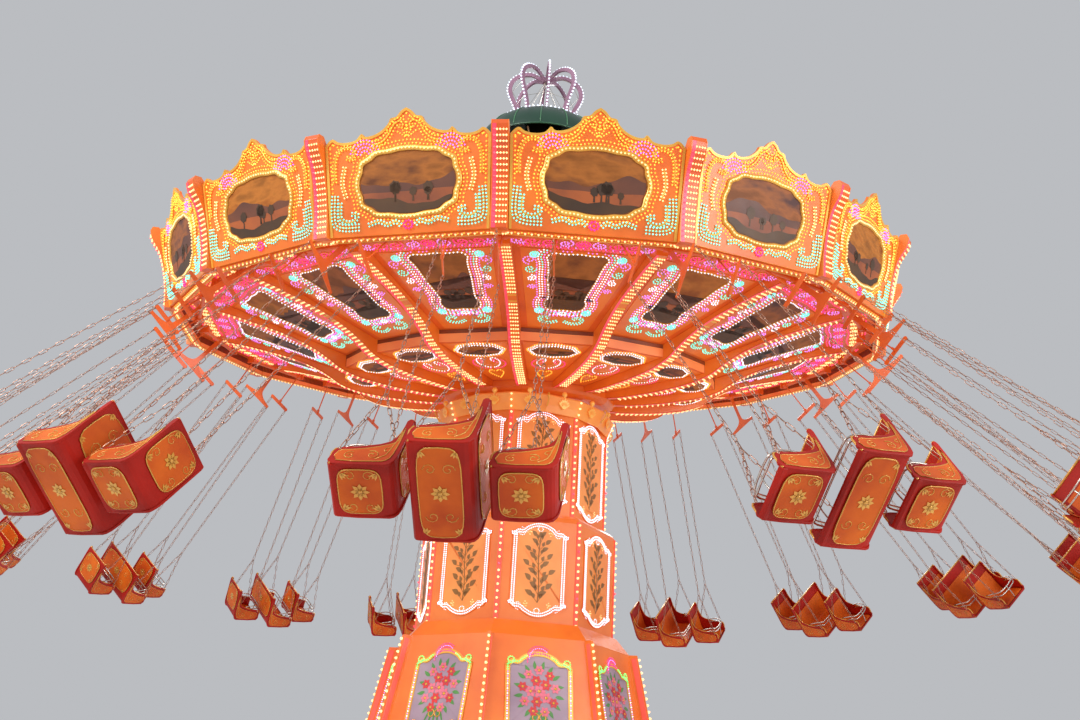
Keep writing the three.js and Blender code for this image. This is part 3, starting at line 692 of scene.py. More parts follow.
def casing_faces(name, body, radius, top, foot, spray_rows):
    """Panels, leaf sprays, light frames and corner columns of one casing."""
    lights = Lights(name, body)
    panels, mouldings, sprays, strips = piles(4)
    half, height = 0.35, top - foot
    outline = scalloped_frame(half, height, 0.15)
    tall = height + 0.2
    column_bulbs = pairs(0, np.linspace(0.04, tall - 0.04, int(tall / 0.087)))
    for i in range(TOWER_SIDES):
        face = facing(tower_face(i), radius * FACE_COSINE, foot, 90)
        panels.add(raised(offset(outline, 0.012), GAP, 0.006), face)
        mouldings.add(ring_slab(offset(outline, -0.022), offset(outline, 0.046), GAP, 0.012), face)
        for path in (outline, offset(outline, 0.032)):
            lights.add("cool", spaced_round(path, 0.027), 0.021, face, 0.012)
        for side in (-1, 1):
            for y, size, start in ((height - 0.13, 0.062, 90), (0.12, 0.055, -90)):
                curl = spiral((side * half * 0.72, y), start, 1.3 * side, size, 0.012)
                lights.add("cool", resampled(curl, 0.025), 0.014, face, 0.006)
                lights.add("warm", resampled(curl * [0.6, 1.0] + [0, 0.02], 0.04), 0.014, face, 0.006)
        for y in (height - 0.07, 0.07):
            lights.add("cool", ellipse((0, y), 0.035, 0.03, 9), 0.014, face, 0.006)
        leaf_spray(sprays, face @ shift(0, 0, 0.006), 0.17, height - 0.36, 0.2, spray_rows)
        column = facing(TOWER_PHASE + TOWER_TURN * i, radius, foot - 0.12, 90)
        strips.add(raised(rectangle(-0.03, 0.03, 0, tall), -0.012, 0.006), column)
        # Two red bulbs together now and then
        red = np.array([(k * 5 + i * 3) % 17 in (6, 7) for k in range(len(column_bulbs))])
        lights.add("warm", column_bulbs[~red], 0.036, column, 0.006)
        lights.add("red", column_bulbs[red], 0.036, column, 0.006)
    panels.make(name + "_panels", PEACH_PANEL, body)
    mouldings.make(name + "_frames", ORANGE, body, bevel=0.003)
    sprays.make(name + "_leaf_sprays", BROWN, body)
    strips.make(name + "_corner_strips", RED_GLOW, body, bevel=0.003)
    lights.make()


def skirt_face(index, height):
    """A face on the skirt's slope, that far up it."""
    radius = SKIRT_FOOT_RADIUS - SKIRT_FLARE * (height - SKIRT_FOOT) / SKIRT_RISE
    slope = math.degrees(math.atan(SKIRT_FLARE * FACE_COSINE / SKIRT_RISE))
    return facing(tower_face(index), radius * FACE_COSINE, height, 90 - slope)


def blossom(pile, centre_pile, matrix, centre, size, petals=6):
    for start, angle in zip(ellipse(centre, 0.18 * size, 0.18 * size, petals), range(0, 360, 360 // petals)):
        pile.add(flat(turned_flat(leaf(size * 0.62, size * 0.5), angle, start), 0.011), matrix)
    centre_pile.add(raised(ellipse(centre, size * 0.2, size * 0.2, 7), 0.011, 0.016), matrix)


def skirt_faces():
    lights = Lights("skirt", "base")
    grounds, mouldings, leaves, reds, pinks, golds, glows = piles(7)
    for i in range(TOWER_SIDES):
        # Each panel: foot, half width, height
        for foot, half, tall in ((2.62, 0.4, 1.06), (0.55, 0.58, 1.75)):
            face = skirt_face(i, foot)
            outline = scalloped_frame(half, tall, 0.16)
            grounds.add(raised(outline, GAP, 0.006), face)
            mouldings.add(ring_slab(offset(outline, -0.03), offset(outline, 0.03), GAP, 0.016), face)
            skirt_panel_lights(lights, golds, face, outline, half, tall)
            bouquet(face, tall, half, leaves, reds, pinks, golds)
        flange_lights(i, lights, glows)
    grounds.make("skirt_picture_grounds", GREY_PURPLE, "base")
    mouldings.make("skirt_frames", GOLD, "base")
    leaves.make("skirt_bouquet_leaves", LEAF_GREEN, "base")
    reds.make("skirt_bouquet_red", RED, "base")
    pinks.make("skirt_bouquet_pink", PINK, "base")
    golds.make("skirt_gold_scrolls", GOLD, "base", shade_smooth=True)
    glows.make("skirt_flange_strips", RED_GLOW, "base", bevel=0.004)
    lights.make()


def skirt_panel_lights(lights, golds, face, outline, half, tall):
    """Coloured bulbs round a skirt panel, its corner scrolls and the shell at its head."""
    on_frame = 0.016
    points = spaced_round(outline, 0.03)
    upper = points[:, 1] > tall * 0.78
    lower = points[:, 1] < tall * 0.2
    central = np.abs(points[:, 0]) < half * 0.35
    sides = points[~upper & ~lower]
    lights.add("magenta", points[upper & central], SMALL_BULB, face, on_frame)
    lights.add("green", points[upper & ~central], SMALL_BULB, face, on_frame)
    lights.add("yellow", points[lower & central], SMALL_BULB, face, on_frame)
    lights.add("lilac", points[lower & ~central], SMALL_BULB, face, on_frame)
    lights.add("lilac", sides[::2], 0.02, face, on_frame)
    lights.add("cool", sides[1::2], 0.02, face, on_frame)
    for side in (-1, 1):
        curl = spiral((side * half * 0.74, 0.13), 200 if side < 0 else -20, -1.3 * side, 0.1, 0.02)
        golds.add(tube(lifted(smooth(curl, 2), 0.012), 0.012, 4), face)
        lights.add("yellow", resampled(curl, 0.03), 0.018, face, 0.02)
        lights.add("green", ellipse((side * half * 0.9, tall - 0.1), 0.04, 0.04, 10), 0.02, face, on_frame)
    for k, colour in enumerate(("magenta", "lilac", "magenta")):
        radius = 0.16 - 0.03 * k
        arc = spiral((0, tall - 0.06), 200 - 16 * k, -0.42 + 0.03 * k, radius, radius)
        lights.add(colour, resampled(arc, 0.026), 0.018, face, 0.018)


def bouquet(face, tall, half, leaves, reds, pinks, golds):
    """A sheaf of flowers: round heads over a fan of leaves on a tied stem."""
    def around(angle, across, up):
        a = math.radians(angle)
        return half * across * math.cos(a), tall * 0.56 + half * up * math.sin(a)

    # Each ring of flowers: how many, and how far out
    for ring, (count, reach) in enumerate(((1, 0.0), (5, 0.32), (9, 0.62))):
        for k in range(count):
            centre = around(90 + 360 * k / count + 20 * ring, reach * 0.85, reach * 1.05)
            petals = reds if (k + ring) % 2 else pinks
            blossom(petals, golds, face, centre, half * 0.24 * (1.1 - 0.12 * ring))
    for k in range(16):
        angle = 360 * k / 16 + 11
        spray = turned_flat(leaf(half * 0.3, half * 0.12, 0.1), angle, around(angle, 0.52, 0.66))
        leaves.add(flat(spray, 0.0085), face)
    for k in range(-2, 3):
        blade = turned_flat(leaf(tall * 0.3, half * 0.07, 0.1 * k), -90 + 14 * k, (0, tall * 0.36))
        leaves.add(flat(blade, 0.008), face)
    for side in (-1, 1):
        loop = spiral((0.05 * side, tall * 0.26), 90, 0.9 * side, 0.05, 0.03)
        golds.add(tube(lifted(smooth(loop, 2), 0.012), 0.007, 4), face)


def flange_lights(index, lights, glows):
    """A row of bulbs up a corner flange and a glowing strip on both its cheeks."""
    lean = math.degrees(math.atan(SKIRT_FLARE / SKIRT_RISE))
    tall = math.hypot(SKIRT_RISE, SKIRT_FLARE)
    azimuth = TOWER_PHASE + TOWER_TURN * index
    face = facing(azimuth, SKIRT_FOOT_RADIUS + FLANGE_DEPTH, SKIRT_FOOT, 90 - lean)
    lights.add("warm", pairs(0, np.linspace(0.07, tall - 0.06, int(tall / 0.085))), 0.04, face, 0.003)
    for side in (-1, 1):
        cheek = face @ shift(side * 0.022, 0, 0) @ spin(90 * side, "Y")
        glows.add(raised(rectangle(0.02, 0.09, 0.03, tall - 0.03) * [side, 1], 0.001, 0.005), cheek)


def collar_ornaments():
    """Fan leaves, scroll fins, knobs and corner bulbs round the collar at the head of the tower."""
    fans, fins, knobs = piles(3)
    lights = Lights("collar", "tower_upper")
    low, radius, pitch = 7.075, 1.262, 105.5
    knob = np.array([(0.0, 0.0), (0.016, 0.0), (0.014, 0.02), (0.03, 0.035), (0.034, 0.055), (0.022, 0.078),
                     (0.0, 0.086)])
    scroll = smooth([(0.0, 0.0), (0.05, 0.05), (0.085, 0.12), (0.07, 0.17), (0.035, 0.165), (0.04, 0.13)], 4)
    for i in range(SIDES):
        azimuth = TOWER_PHASE + BAY * (i + 0.5)
        face = facing(azimuth, radius, low, pitch)
        for k in range(-3, 4):
            fan_leaf = turned_flat(leaf(0.13 - 0.01 * abs(k), 0.042), 90 + 19 * k, (0, 0))
            fans.add(raised(fan_leaf, 0.0, 0.012), face)
        fans.add(raised(ellipse((0, 0), 0.034, 0.026, 12), 0.0, 0.02), face)
        knobs.add(lathe(1.15 * knob, 10, closed=False), turn(azimuth) @ shift(0, -1.278, 7.2))
        corner = azimuth + BAY / 2
        if i % 2 == 0:
            upright = turn(corner) @ shift(0, 0, low - 0.02) @ RADIAL
            fins.add(tube(lifted(scroll + [1.275, 0.0], 0.0), 0.01, 5), upright)
        else:
            for height, out in ((7.02, 1.267), (7.105, 1.293), (7.185, 1.314)):
                lights.add("warm", [(0, 0)], 0.036, facing(corner, out, height, pitch))
    fans.make("collar_fan_leaves", PALE_GOLD, "tower_upper")
    fins.make("collar_scroll_fins", GOLD, "tower_upper", shade_smooth=True)
    knobs.make("collar_knobs", PALE_GOLD, "tower_upper", shade_smooth=True)
    lights.make()


# Crown and dome

def crown():
    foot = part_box("crown")[0][2]
    arches, ring, wires = piles(3)
    lights = Lights("crown", "tower_upper")
    outer = smooth([(0.43, 0.01), (0.51, 0.29), (0.6, 0.5), (0.638, 0.65), (0.605, 0.82), (0.5, 0.945),
                    (0.36, 1.015), (0.23, 1.022), (0.1, 0.965), (0.02, 0.915)], 5)
    arch = slab(np.vstack([outer, offset(outer, 0.068)[::-1]]), -0.02, 0.02)
    beads = resampled(outer, 0.06)[1:-1]

    def spot(azimuth, radius, height):
        return turn(azimuth) @ Vector((0, -radius, foot + height))

    for azimuth in range(CROWN_PHASE, CROWN_PHASE + 360, 45):
        upright = turn(azimuth) @ shift(0, 0, foot) @ RADIAL
        arches.add(arch, upright)
        for point, along in zip(beads, np.gradient(beads, axis=0)):
            out = Vector((along[1], -along[0], 0)).normalized().to_track_quat("Z", "Y").to_matrix().to_4x4()
            lights.add("cool", [(0, 0)], 0.034, upright @ shift(point[0], point[1], 0) @ out)
        for height in (0.3, 0.62):
            radius = 0.5 + 0.1 * height
            wires.add(tube([spot(azimuth, radius, height), spot(azimuth + 45, radius, height)], 0.004, 4))
        wires.add(tube([spot(azimuth + BAY, 0.42, 0.05), (0, 0, foot + 0.9)], 0.004, 4))
    band = [(0.38, 0.0), (0.435, 0.0), (0.44, 0.03), (0.435, 0.06), (0.38, 0.06)]
    ring.add(lathe(band, 48), shift(0, 0, foot))
    hub = [(0.0, 0.87), (0.06, 0.875), (0.075, 0.905), (0.05, 0.94), (0.02, 0.97), (0.024, 1.0), (0.0, 1.02)]
    ring.add(lathe(hub, 16, closed=False), shift(0, 0, foot))
    for azimuth in range(0, 360, 15):
        lights.add("cool", [(0, 0)], 0.036, facing(azimuth, 0.439, foot + 0.03, 90))
    piece = arches.make("crown_arches", MAUVE, "tower_upper", bevel=0.004)
    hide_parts("crown")
    ring.make("crown_ring_and_finial", MAUVE, "tower_upper")
    wires.make("crown_wires", CHROME, "tower_upper")
    lights.make()


def dome():
    low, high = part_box("dome")
    foot, rise, radius, wall = low[2], high[2] - low[2], high[0], 0.018
    shell, seams, struts = piles(3)
    lights = Lights("dome", "tower_upper")
    cap = math.radians(66)
    top = [(radius * math.cos(a), foot + 0.02 + (rise - 0.02) * math.sin(a) / math.sin(cap))
           for a in np.linspace(0, 1, 13) * cap]
    under = [(r - wall, z - wall) for r, z in top[::-1]]
    shell.add(lathe([(radius, foot)] + top + [(0.0, high[2]), (0.0, high[2] - wall)] + under, 64))
    for i in range(SIDES):
        seams.add(tube([turn(BAY * i) @ Vector((0, -r, z + 0.004)) for r, z in top], 0.011, 5))
        strut = [Vector((0, -0.31, foot - 0.34)), Vector((0, -radius * 0.86, foot + 0.05))]
        struts.add(tube([turn(BAY * i + 10) @ end for end in strut], 0.014, 6))
    rim = [turn(a) @ Vector((0, -radius + 0.012, foot + 0.012)) for a in range(0, 360, 5)]
    seams.add(tube(rim, 0.014, 6, closed=True))
    # A ring of bulbs part of the way up the slope
    (before, below), limb, (after, above) = top[7:10]
    pitch = 90 - math.degrees(math.atan2(before - after, above - below))
    for azimuth in range(0, 360, 5):
        lights.add("cool", [(0, 0)], 0.032, facing(azimuth, limb[0], limb[1] + 0.003, pitch))
    piece = shell.make("dome_shell", GREEN, "tower_upper", shade_smooth=True)
    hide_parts("dome")
    seams.make("dome_seams", SEAM_GREEN, "tower_upper", shade_smooth=True)
    struts.make("dome_struts", CREAM, "tower_upper")
    lights.make()


# Canopy

def bay_azimuth(index):
    return PHASE + BAY * (index + 0.5)


def rib_azimuth(index):
    return PHASE + BAY * index


def board_half_width(y):
    radius = BOARD_FOOT + y * math.sin(math.radians(BOARD_SLOPE))
    return radius * BAY_TANGENT - BRACKET_WIDTH / 2 / BAY_COSINE - 0.0006


def board_outline():
    """A fascia board with small points on its shoulders and a narrow crest."""
    top = [(1.0, 1.03), (0.95, 1.085), (0.9, 1.105), (0.84, 1.07), (0.74, 1.055), (0.62, 1.075), (0.55, 1.14),
           (0.5, 1.105), (0.4, 1.115), (0.3, 1.16), (0.22, 1.23), (0.19, 1.285), (0.12, 1.3), (0.06, 1.36),
           (0.0, 1.395)]
    half = np.vstack([[(board_half_width(0), 0.0)], smooth(np.array(top) * [board_half_width(1.05), 1], 4)])
    return np.vstack([half, mirrored(half)[::-1][1:]])


def lobed_oval(centre, half_width, half_height, depth, lobes, steps, square=1.0):
    """An oval with waves in its edge; square under 1 draws it out towards a rectangle."""
    t = corner_angles(steps)
    swell = 1 + depth * np.cos(lobes * t)
    across, up = (swell * np.sign(wave) * np.abs(wave) ** square for wave in (np.cos(t), np.sin(t)))
    return pairs(centre[0] + half_width * across, centre[1] + half_height * up)


def middle_and_half(outline):
    low, high = outline.min(axis=0), outline.max(axis=0)
    return (low + high) / 2, (high - low) / 2


def hill_band(outline, level, rough, seed):
    """The part of a picture's outline under a wavy line; level is a share of its height."""
    middle, half = middle_and_half(outline)
    phase = np.random.default_rng(seed).uniform(0, 6.28, 3)
    x = (outline[:, 0] - middle[0]) / half[0]
    wave = np.sin(2.3 * x + phase[0]) + 0.5 * np.sin(5.1 * x + phase[1]) + 0.25 * np.sin(11 * x + phase[2])
    top = middle[1] + half[1] * (level + rough * wave)
    return pairs(outline[:, 0], np.minimum(outline[:, 1], top))


class Pictures:
    """Generic landscapes in flat layers: sky, far hills, a lake and a wooded shore."""

    def __init__(self, name, body):
        self.name = name
        self.body = body
        self.skies = piles(len(SKIES))
        self.far, self.near, self.water = piles(3)

    def add(self, face, outline, seed, trees=5):
        rng = np.random.default_rng(seed)
        centre, half = middle_and_half(outline)
        inside = centre + (outline - centre) * 0.97
        self.skies[seed % len(SKIES)].add(flat(outline, 0.004), face)
        self.far.add(flat(hill_band(inside, 0.05, 0.16, seed + 1), 0.006), face)
        self.water.add(flat(hill_band(inside, -0.28, 0.02, seed + 2), 0.0075), face)
        self.near.add(flat(hill_band(inside, -0.55, 0.12, seed + 3), 0.0095), face)
        foot = centre[1] - 0.6 * half[1]
        for _ in range(trees):
            x = centre[0] + rng.uniform(-0.55, 0.55) * half[0]
            tall = rng.uniform(0.3, 0.6) * min(half)
            leaves = lobed_oval((x, foot + tall * 0.8), tall * 0.32, tall * 0.36, 0.1, 7, 21)
            self.near.add(flat(leaves, 0.0105), face)
            fork = foot + tall * 0.6
            trunk = [(x - 0.012, foot), (x + 0.012, foot), (x + 0.006, fork), (x - 0.006, fork)]
            self.near.add(flat(trunk, 0.01), face)

    def make(self):
        for k, (pile, sky) in enumerate(zip(self.skies, SKIES)):
            pile.make(f"{self.name}_sky_{k}", sky, self.body)
        self.far.make(self.name + "_far_hills", FAR_HILLS, self.body)
        self.water.make(self.name + "_water", WATER, self.body)
        self.near.make(self.name + "_near_shore", NEAR_HILLS, self.body)


def scroll_pair(pile, lights, face, colour, path, spacing, size, rows, gap, z, thickness):
    """A raised scroll on both halves of a face with rows of bulbs along it."""
    for half in (path, mirrored(path)):
        pile.add(tube(lifted(half, z), thickness, 4), face)
        for row in range(rows):
            bulbs = resampled(offset(half, (row - (rows - 1) / 2) * gap), spacing)
            lights.add(colour, bulbs, size, face, z + thickness * 0.7)


def board_scrolls():
    """The scrolls on the right half of a board: path, colour of the bulbs, rows of them."""
    upper = [(0.86, 0.62), (0.86, 0.84), (0.8, 0.97), (0.69, 1.0), (0.62, 0.94), (0.65, 0.87), (0.71, 0.88)]
    crest = [(0.4, 1.01), (0.3, 1.03), (0.22, 1.1), (0.16, 1.2), (0.09, 1.25), (0.04, 1.22), (0.05, 1.17)]
    corner_run = [(0.86, 0.46), (0.87, 0.28), (0.85, 0.14), (0.74, 0.1), (0.58, 0.1)]
    corner_curl = [(0.8, 0.38), (0.8, 0.22), (0.72, 0.16), (0.62, 0.18), (0.6, 0.24), (0.66, 0.25)]
    foot = [(0.46, 0.12), (0.34, 0.15), (0.24, 0.11), (0.14, 0.14), (0.09, 0.1)]
    side = [(0.74, 0.78), (0.77, 0.6), (0.73, 0.44)]
    return [(smooth(path, 5), colour, rows) for path, colour, rows in (
        (upper, "yellow", 2), (crest, "yellow", 3), (corner_run, "turquoise", 3),
        (corner_curl, "turquoise", 2), (foot, "turquoise", 2), (side, "warm", 2))]


def board_lights(lights, face, outline):
    """Fans of bulbs in a board's upper corners, its rim, its rays and the blossom at its foot."""
    for half in (-1, 1):
        for radius in (0.17, 0.13, 0.09, 0.05):
            arc = spiral((half * 0.5, 0.9), 10 if half > 0 else 170, 0.42 * half, radius, radius, 40)
            lights.add("lilac", resampled(arc, 0.036), SMALL_BULB, face, 0.004)
    rim_row = resampled(offset(outline, 0.055), 0.05)
    lights.add("yellow", rim_row[rim_row[:, 1] > 0.5], 0.024, face, 0.002)
    for angle in (35, 62, 90, 118, 145):
        ray = turned_flat([(0.03, 0.0), (0.13, 0.0)], angle, (0, 1.06))
        lights.add("yellow", resampled(ray, 0.034), SMALL_BULB, face, 0.003)
    lights.add("magenta", np.vstack([ellipse((0, 0.1), 0.05, 0.045, 9), [[0, 0.1]]]), 0.032, face, 0.012)


def fascia_boards():
    boards, edges, scrolls, backs = piles(4)
    lights = Lights("fascia", "canopy")
    pictures = Pictures("fascia_picture", "canopy")
    outline = board_outline()

    def oval(grow):
        return lobed_oval((0.0, 0.57), 0.56 + grow, 0.345 + grow, 0.022, 12, 84, 0.72)

    for i in range(SIDES):
        board = CANOPY @ facing(bay_azimuth(i), BOARD_FOOT, 0, 90 + BOARD_SLOPE)
        face = board @ shift(0, 0, BOARD_WALL)
        boards.add(slab(outline, 0.0, BOARD_WALL), board)
        edges.add(ring_slab(outline, offset(outline, 0.03), BOARD_WALL, BOARD_WALL + 0.014), board)
        pictures.add(face, oval(0), 40 + 7 * i)
        scrolls.add(ring_slab(oval(0.055), oval(0), 0.0, 0.02), face)
        for colour, grow, z in (("warm", 0.028, 0.02), ("yellow", 0.075, 0.002), ("yellow", 0.115, 0.002)):
            lights.add(colour, spaced_round(oval(grow), 0.044), SMALL_BULB, face, z)
        for path, colour, rows in board_scrolls():
            scroll_pair(scrolls, lights, face, colour, path, 0.038, SMALL_BULB, rows, 0.036, 0.007, 0.012)
        board_lights(lights, face, outline)
        for x in (-0.6, 0.0, 0.6):
            backs.add(prism((x, 0.02, -0.02), (x, 1.0, -0.02), 0.04, 0.03), board)
    made = boards.make("fascia_boards", ORANGE, "canopy", bevel=0.006)
    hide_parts(*[f"fascia_{i + 1:02d}" for i in range(SIDES)])
    edges.make("fascia_gold_edges", GOLD, "canopy")
    scrolls.make("fascia_gold_scrolls", GOLD, "canopy", shade_smooth=True)
    backs.make("fascia_back_battens", CREAM, "canopy")
    pictures.make()
    lights.make()


def bracket_profile():
    """The outer line of a bracket in (radius, height), then the inner line."""
    inner = RIM_RADIUS + 0.0003
    outer = smooth([(inner + 0.085, -0.02), (inner + 0.1, 0.25), (inner + 0.145, 0.5), (inner + 0.225, 0.75),
                    (5.594, 0.93), (5.634, 1.05)], 5)
    back = [(5.61, 1.108), (5.53, 1.11), (inner + 0.19, 1.01), (inner + 0.09, 0.6), (inner, -0.02)]
    return outer, np.array(back)


def rib_face(index, point, slope):
    """A rib's underside or a bracket's front at one (radius, height) point, along the slope there."""
    pitch = 180 - math.degrees(math.atan2(slope[1], slope[0]))
    return CANOPY @ facing(rib_azimuth(index), point[0], point[1], pitch)


def rib_faces(index, rows):
    return [rib_face(index, point, slope) for point, slope in zip(rows, np.gradient(rows, axis=0))]


def brackets():
    bodies, cheeks, pink_bands = piles(3)
    lights = Lights("bracket", "canopy")
    outer, back = bracket_profile()
    half, wall = BRACKET_WIDTH / 2, 0.012
    cheek = np.vstack([offset(outer, -0.004), back])
    band = np.vstack([offset(outer, -0.003), offset(outer, 0.006)[::-1]])
    for i in range(SIDES):
        upright = CANOPY @ turn(rib_azimuth(i)) @ RADIAL
        bodies.add(slab(np.vstack([outer, back]), -half + wall, half - wall), upright)
        for x in (-half, half - wall):
            cheeks.add(slab(cheek, x, x + wall), upright)
        pink_bands.add(slab(band, -half + 0.013, -half + 0.058), upright)
        for face in rib_faces(i, resampled(outer, 0.062)[1:-1]):
            lights.add("warm", pairs([-0.03, 0.005, 0.04, 0.072], 0), 0.026, face, 0.001)
            lights.add("red", [(-0.062, 0)], 0.028, face, 0.003)
    bodies.make("bracket_bodies", DEEP_ORANGE, "canopy", bevel=0.003)
    cheeks.make("bracket_cheeks", ORANGE, "canopy")
    pink_bands.make("bracket_pink_bands", PINK_GLOW, "canopy")
    lights.make()


def rib_lights():
    """Rows of bulbs, a glowing band and edge beads along the underside of every rib."""
    lights = Lights("rib", "canopy")
    bands, beads, joint_plates = piles(3)
    line = smooth(RIB_UNDERSIDE, 4)
    band = slab(np.vstack([offset(line, 0.002), offset(line, -0.006)[::-1]]), -0.073, -0.042)
    for i in range(SIDES):
        upright = CANOPY @ turn(rib_azimuth(i)) @ RADIAL
        bands.add(band, upright)
        for x in (-0.075, 0.075):
            beads.add(tube(lifted(offset(line, -0.002), x), 0.006, 4), upright)
        for low, high, spacing in RIB_SECTIONS:
            part = line[(line[:, 0] > low) & (line[:, 0] < high)]
            for k, face in enumerate(rib_faces(i, resampled(part, spacing))):
                lights.add("warm", pairs([-0.028, 0.002, 0.032, 0.06], 0), 0.026, face, 0.001)
                if k % 2:
                    lights.add("red", [(-0.057, 0)], SMALL_BULB, face, 0.006)
        for radius in (3.46, 3.62):
            k = int(np.argmin(np.abs(line[:, 0] - radius)))
            face = rib_face(i, line[k], line[k + 1] - line[k - 1])
            joint_plates.add(slab(rectangle(-0.038, 0.07, -0.012, 0.012), 0.0, 0.006), face)
    bands.make("rib_pink_bands", PINK_GLOW, "canopy")
    beads.make("rib_edge_beads", DEEP_ORANGE, "canopy", shade_smooth=True)
    joint_plates.make("rib_joint_plates", GOLD, "canopy", bevel=0.002)
    lights.make()


def soffit_face(index, radius, height, inner_radius, inner_height):
    """The underside between two ribs, from an inner ring to an outer one, and its length."""
    run, rise = (radius - inner_radius) * BAY_COSINE, height - inner_height
    slope = math.degrees(math.atan2(rise, run))
    face = CANOPY @ facing(bay_azimuth(index), inner_radius * BAY_COSINE, inner_height, 180 - slope)
    return face, math.hypot(run, rise)


def tapered(inner_half, outer_half, length, low, high, inset):
    """A trapezium's outline between two shares of its length."""
    def half(share):
        return inner_half + (outer_half - inner_half) * share - inset

    return np.array([(half(low), low * length), (half(high), high * length),
                     (-half(high), high * length), (-half(low), low * length)])


def vase_outline(low, high, inner_half, outer_half):
    """A picture's outline that widens outward, with rounded lobes at its corners and waist."""
    waist = (0.5 * (inner_half + outer_half), low + 0.55 * (high - low))
    inner = [(0.0, low), (0.6 * inner_half, low - 0.01), (0.95 * inner_half, low + 0.03),
             (1.06 * inner_half, low + 0.14), (0.94 * inner_half, low + 0.26)]
    outer = [(0.93 * outer_half, high - 0.3), (outer_half, high - 0.17), (1.08 * outer_half, high - 0.08),
             (0.9 * outer_half, high - 0.01), (0.45 * outer_half, high - 0.015), (0.0, high)]
    return smooth(symmetric(np.array(inner + [waist] + outer)), 6, closed=True)


def outer_soffit(index, lit, length, frames, scrolls, lights, pictures):
    """A picture between coloured scroll borders that wind round it."""
    low, high = 0.5, length - 0.05
    outline = vase_outline(low, high, 0.235, 0.33)
    pictures.add(lit, outline, 400 + 11 * index)
    frames.add(ring_slab(offset(outline, -0.022), outline, 0.0, 0.014), lit)
    for colour, away, z in (("cool", 0.012, 0.014), ("lilac", 0.048, 0.001), ("turquoise", 0.082, 0.001),
                            ("cool", 0.116, 0.001), ("lilac", 0.15, 0.001)):
        row = spaced_round(offset(outline, -away), 0.05)
        room = SOFFIT_MARGIN + (row[:, 1] / length) * SOFFIT_SPREAD
        row = row[(np.abs(row[:, 0]) < room) & (row[:, 1] < length - 0.01)]
        if colour == "turquoise":
            at_end = (row[:, 1] < low + 0.1) | (row[:, 1] > high - 0.3)
            lights.add("turquoise", row[at_end], 0.023, lit, z)
            lights.add("cool", row[~at_end], 0.021, lit, z)
        else:
            lights.add(colour, row, SMALL_BULB, lit, z)
    curl_heights = np.linspace(low + 0.45, high - 0.16, 4)
    for k, (y, colour) in enumerate(zip(curl_heights, ("lilac", "cool", "turquoise", "lilac"))):
        curl = spiral((0.37 + 0.2 * (y - low), y), 90 * k, 1.4, 0.05 + 0.012 * k, 0.012)
        scroll_pair(scrolls, lights, lit, colour, curl, 0.034, SMALL_BULB, 1, 0.0, 0.004, 0.008)
    inner_fan = smooth([(0.05, 0.24), (0.14, 0.2), (0.24, 0.22), (0.27, 0.3), (0.2, 0.34), (0.16, 0.3)], 5)
    scroll_pair(scrolls, lights, lit, "turquoise", inner_fan, 0.038, 0.023, 2, 0.034, 0.005, 0.01)
    for half in (-1, 1):
        for x, y in ((0.52, high - 0.06), (0.3, low - 0.06)):
            for radius in (0.02, 0.05):
                dots = ellipse((half * x, y), radius, radius, 4 + int(170 * radius))
                lights.add("turquoise", dots, 0.024, lit, 0.002)
        lights.add("lilac", ellipse((half * 0.12, 0.4), 0.05, 0.045, 9), SMALL_BULB, lit, 0.002)
    lights.add("cool", ellipse((0, 0.4), 0.04, 0.035, 8), SMALL_BULB, lit, 0.002)


def edge_soffit(lit, scrolls, lights):
    """Magenta, red and lilac scrolls right under the rim."""
    for x, colour in ((0.0, "magenta"), (0.2, "lilac"), (0.4, "magenta"), (0.6, "magenta"), (0.76, "lilac")):
        for y, radius, bulbs in ((0.21, 0.095, colour), (0.42, 0.06, "warm")):
            curl = spiral((x, y), 90 + 140 * x, 1.5, radius, 0.016)
            scroll_pair(scrolls, lights, lit, bulbs, curl, 0.036, 0.023, 1, 0.0, 0.005, 0.009)
    # Wavy rows across the bay: place, half width, the two colours in turn
    for y, half_width, first, second in ((0.05, 0.7, "red", "magenta"), (0.09, 0.72, "magenta", "lilac"),
                                         (0.34, 0.77, "magenta", "red"), (0.53, 0.81, "magenta", "yellow"),
                                         (0.57, 0.82, "red", "magenta")):
        xs = np.linspace(-half_width, half_width, int(half_width / 0.021))
        row = pairs(xs, y + 0.014 * np.sin(9 * xs))
        lights.add(first, row[::2], SMALL_BULB, lit, 0.001)
        lights.add(second, row[1::2], SMALL_BULB, lit, 0.001)


def inner_soffit(index, lit, length, frames, scrolls, lights, pictures):
    """A small oval picture near the step and scrolls towards the hub."""
    def oval(across, up):
        return lobed_oval((0.0, length - 0.26), 0.29 + across, 0.17 + up, 0.04, 8, 48)

    pictures.add(lit, oval(0, 0), 900 + 13 * index, 3)
    frames.add(ring_slab(oval(0.03, 0.03), oval(0, 0), 0.0, 0.014), lit)
    for colour, grow, z in (("cool", 0.012, 0.014), ("cool", 0.045, 0.001), ("yellow", 0.075, 0.001)):
        lights.add(colour, spaced_round(oval(grow * 0.7, grow), 0.04), 0.021, lit, z)
    swirl = smooth([(0.04, 0.55), (0.14, 0.6), (0.22, 0.72), (0.2, 0.86), (0.12, 0.9), (0.07, 0.83),
                    (0.11, 0.78)], 5)
    stem = smooth([(0.0, 0.2), (0.06, 0.3), (0.1, 0.42), (0.06, 0.5), (0.02, 0.46)], 5)
    for colour, path, size, thickness in (("magenta", swirl, 0.021, 0.009),
                                          ("cool", swirl * [0.7, 1.0] + [0.0, 0.05], 0.02, 0.008),
                                          ("yellow", stem, 0.02, 0.008)):
        scroll_pair(scrolls, lights, lit, colour, path, 0.038, size, 1, 0.0, 0.005, thickness)


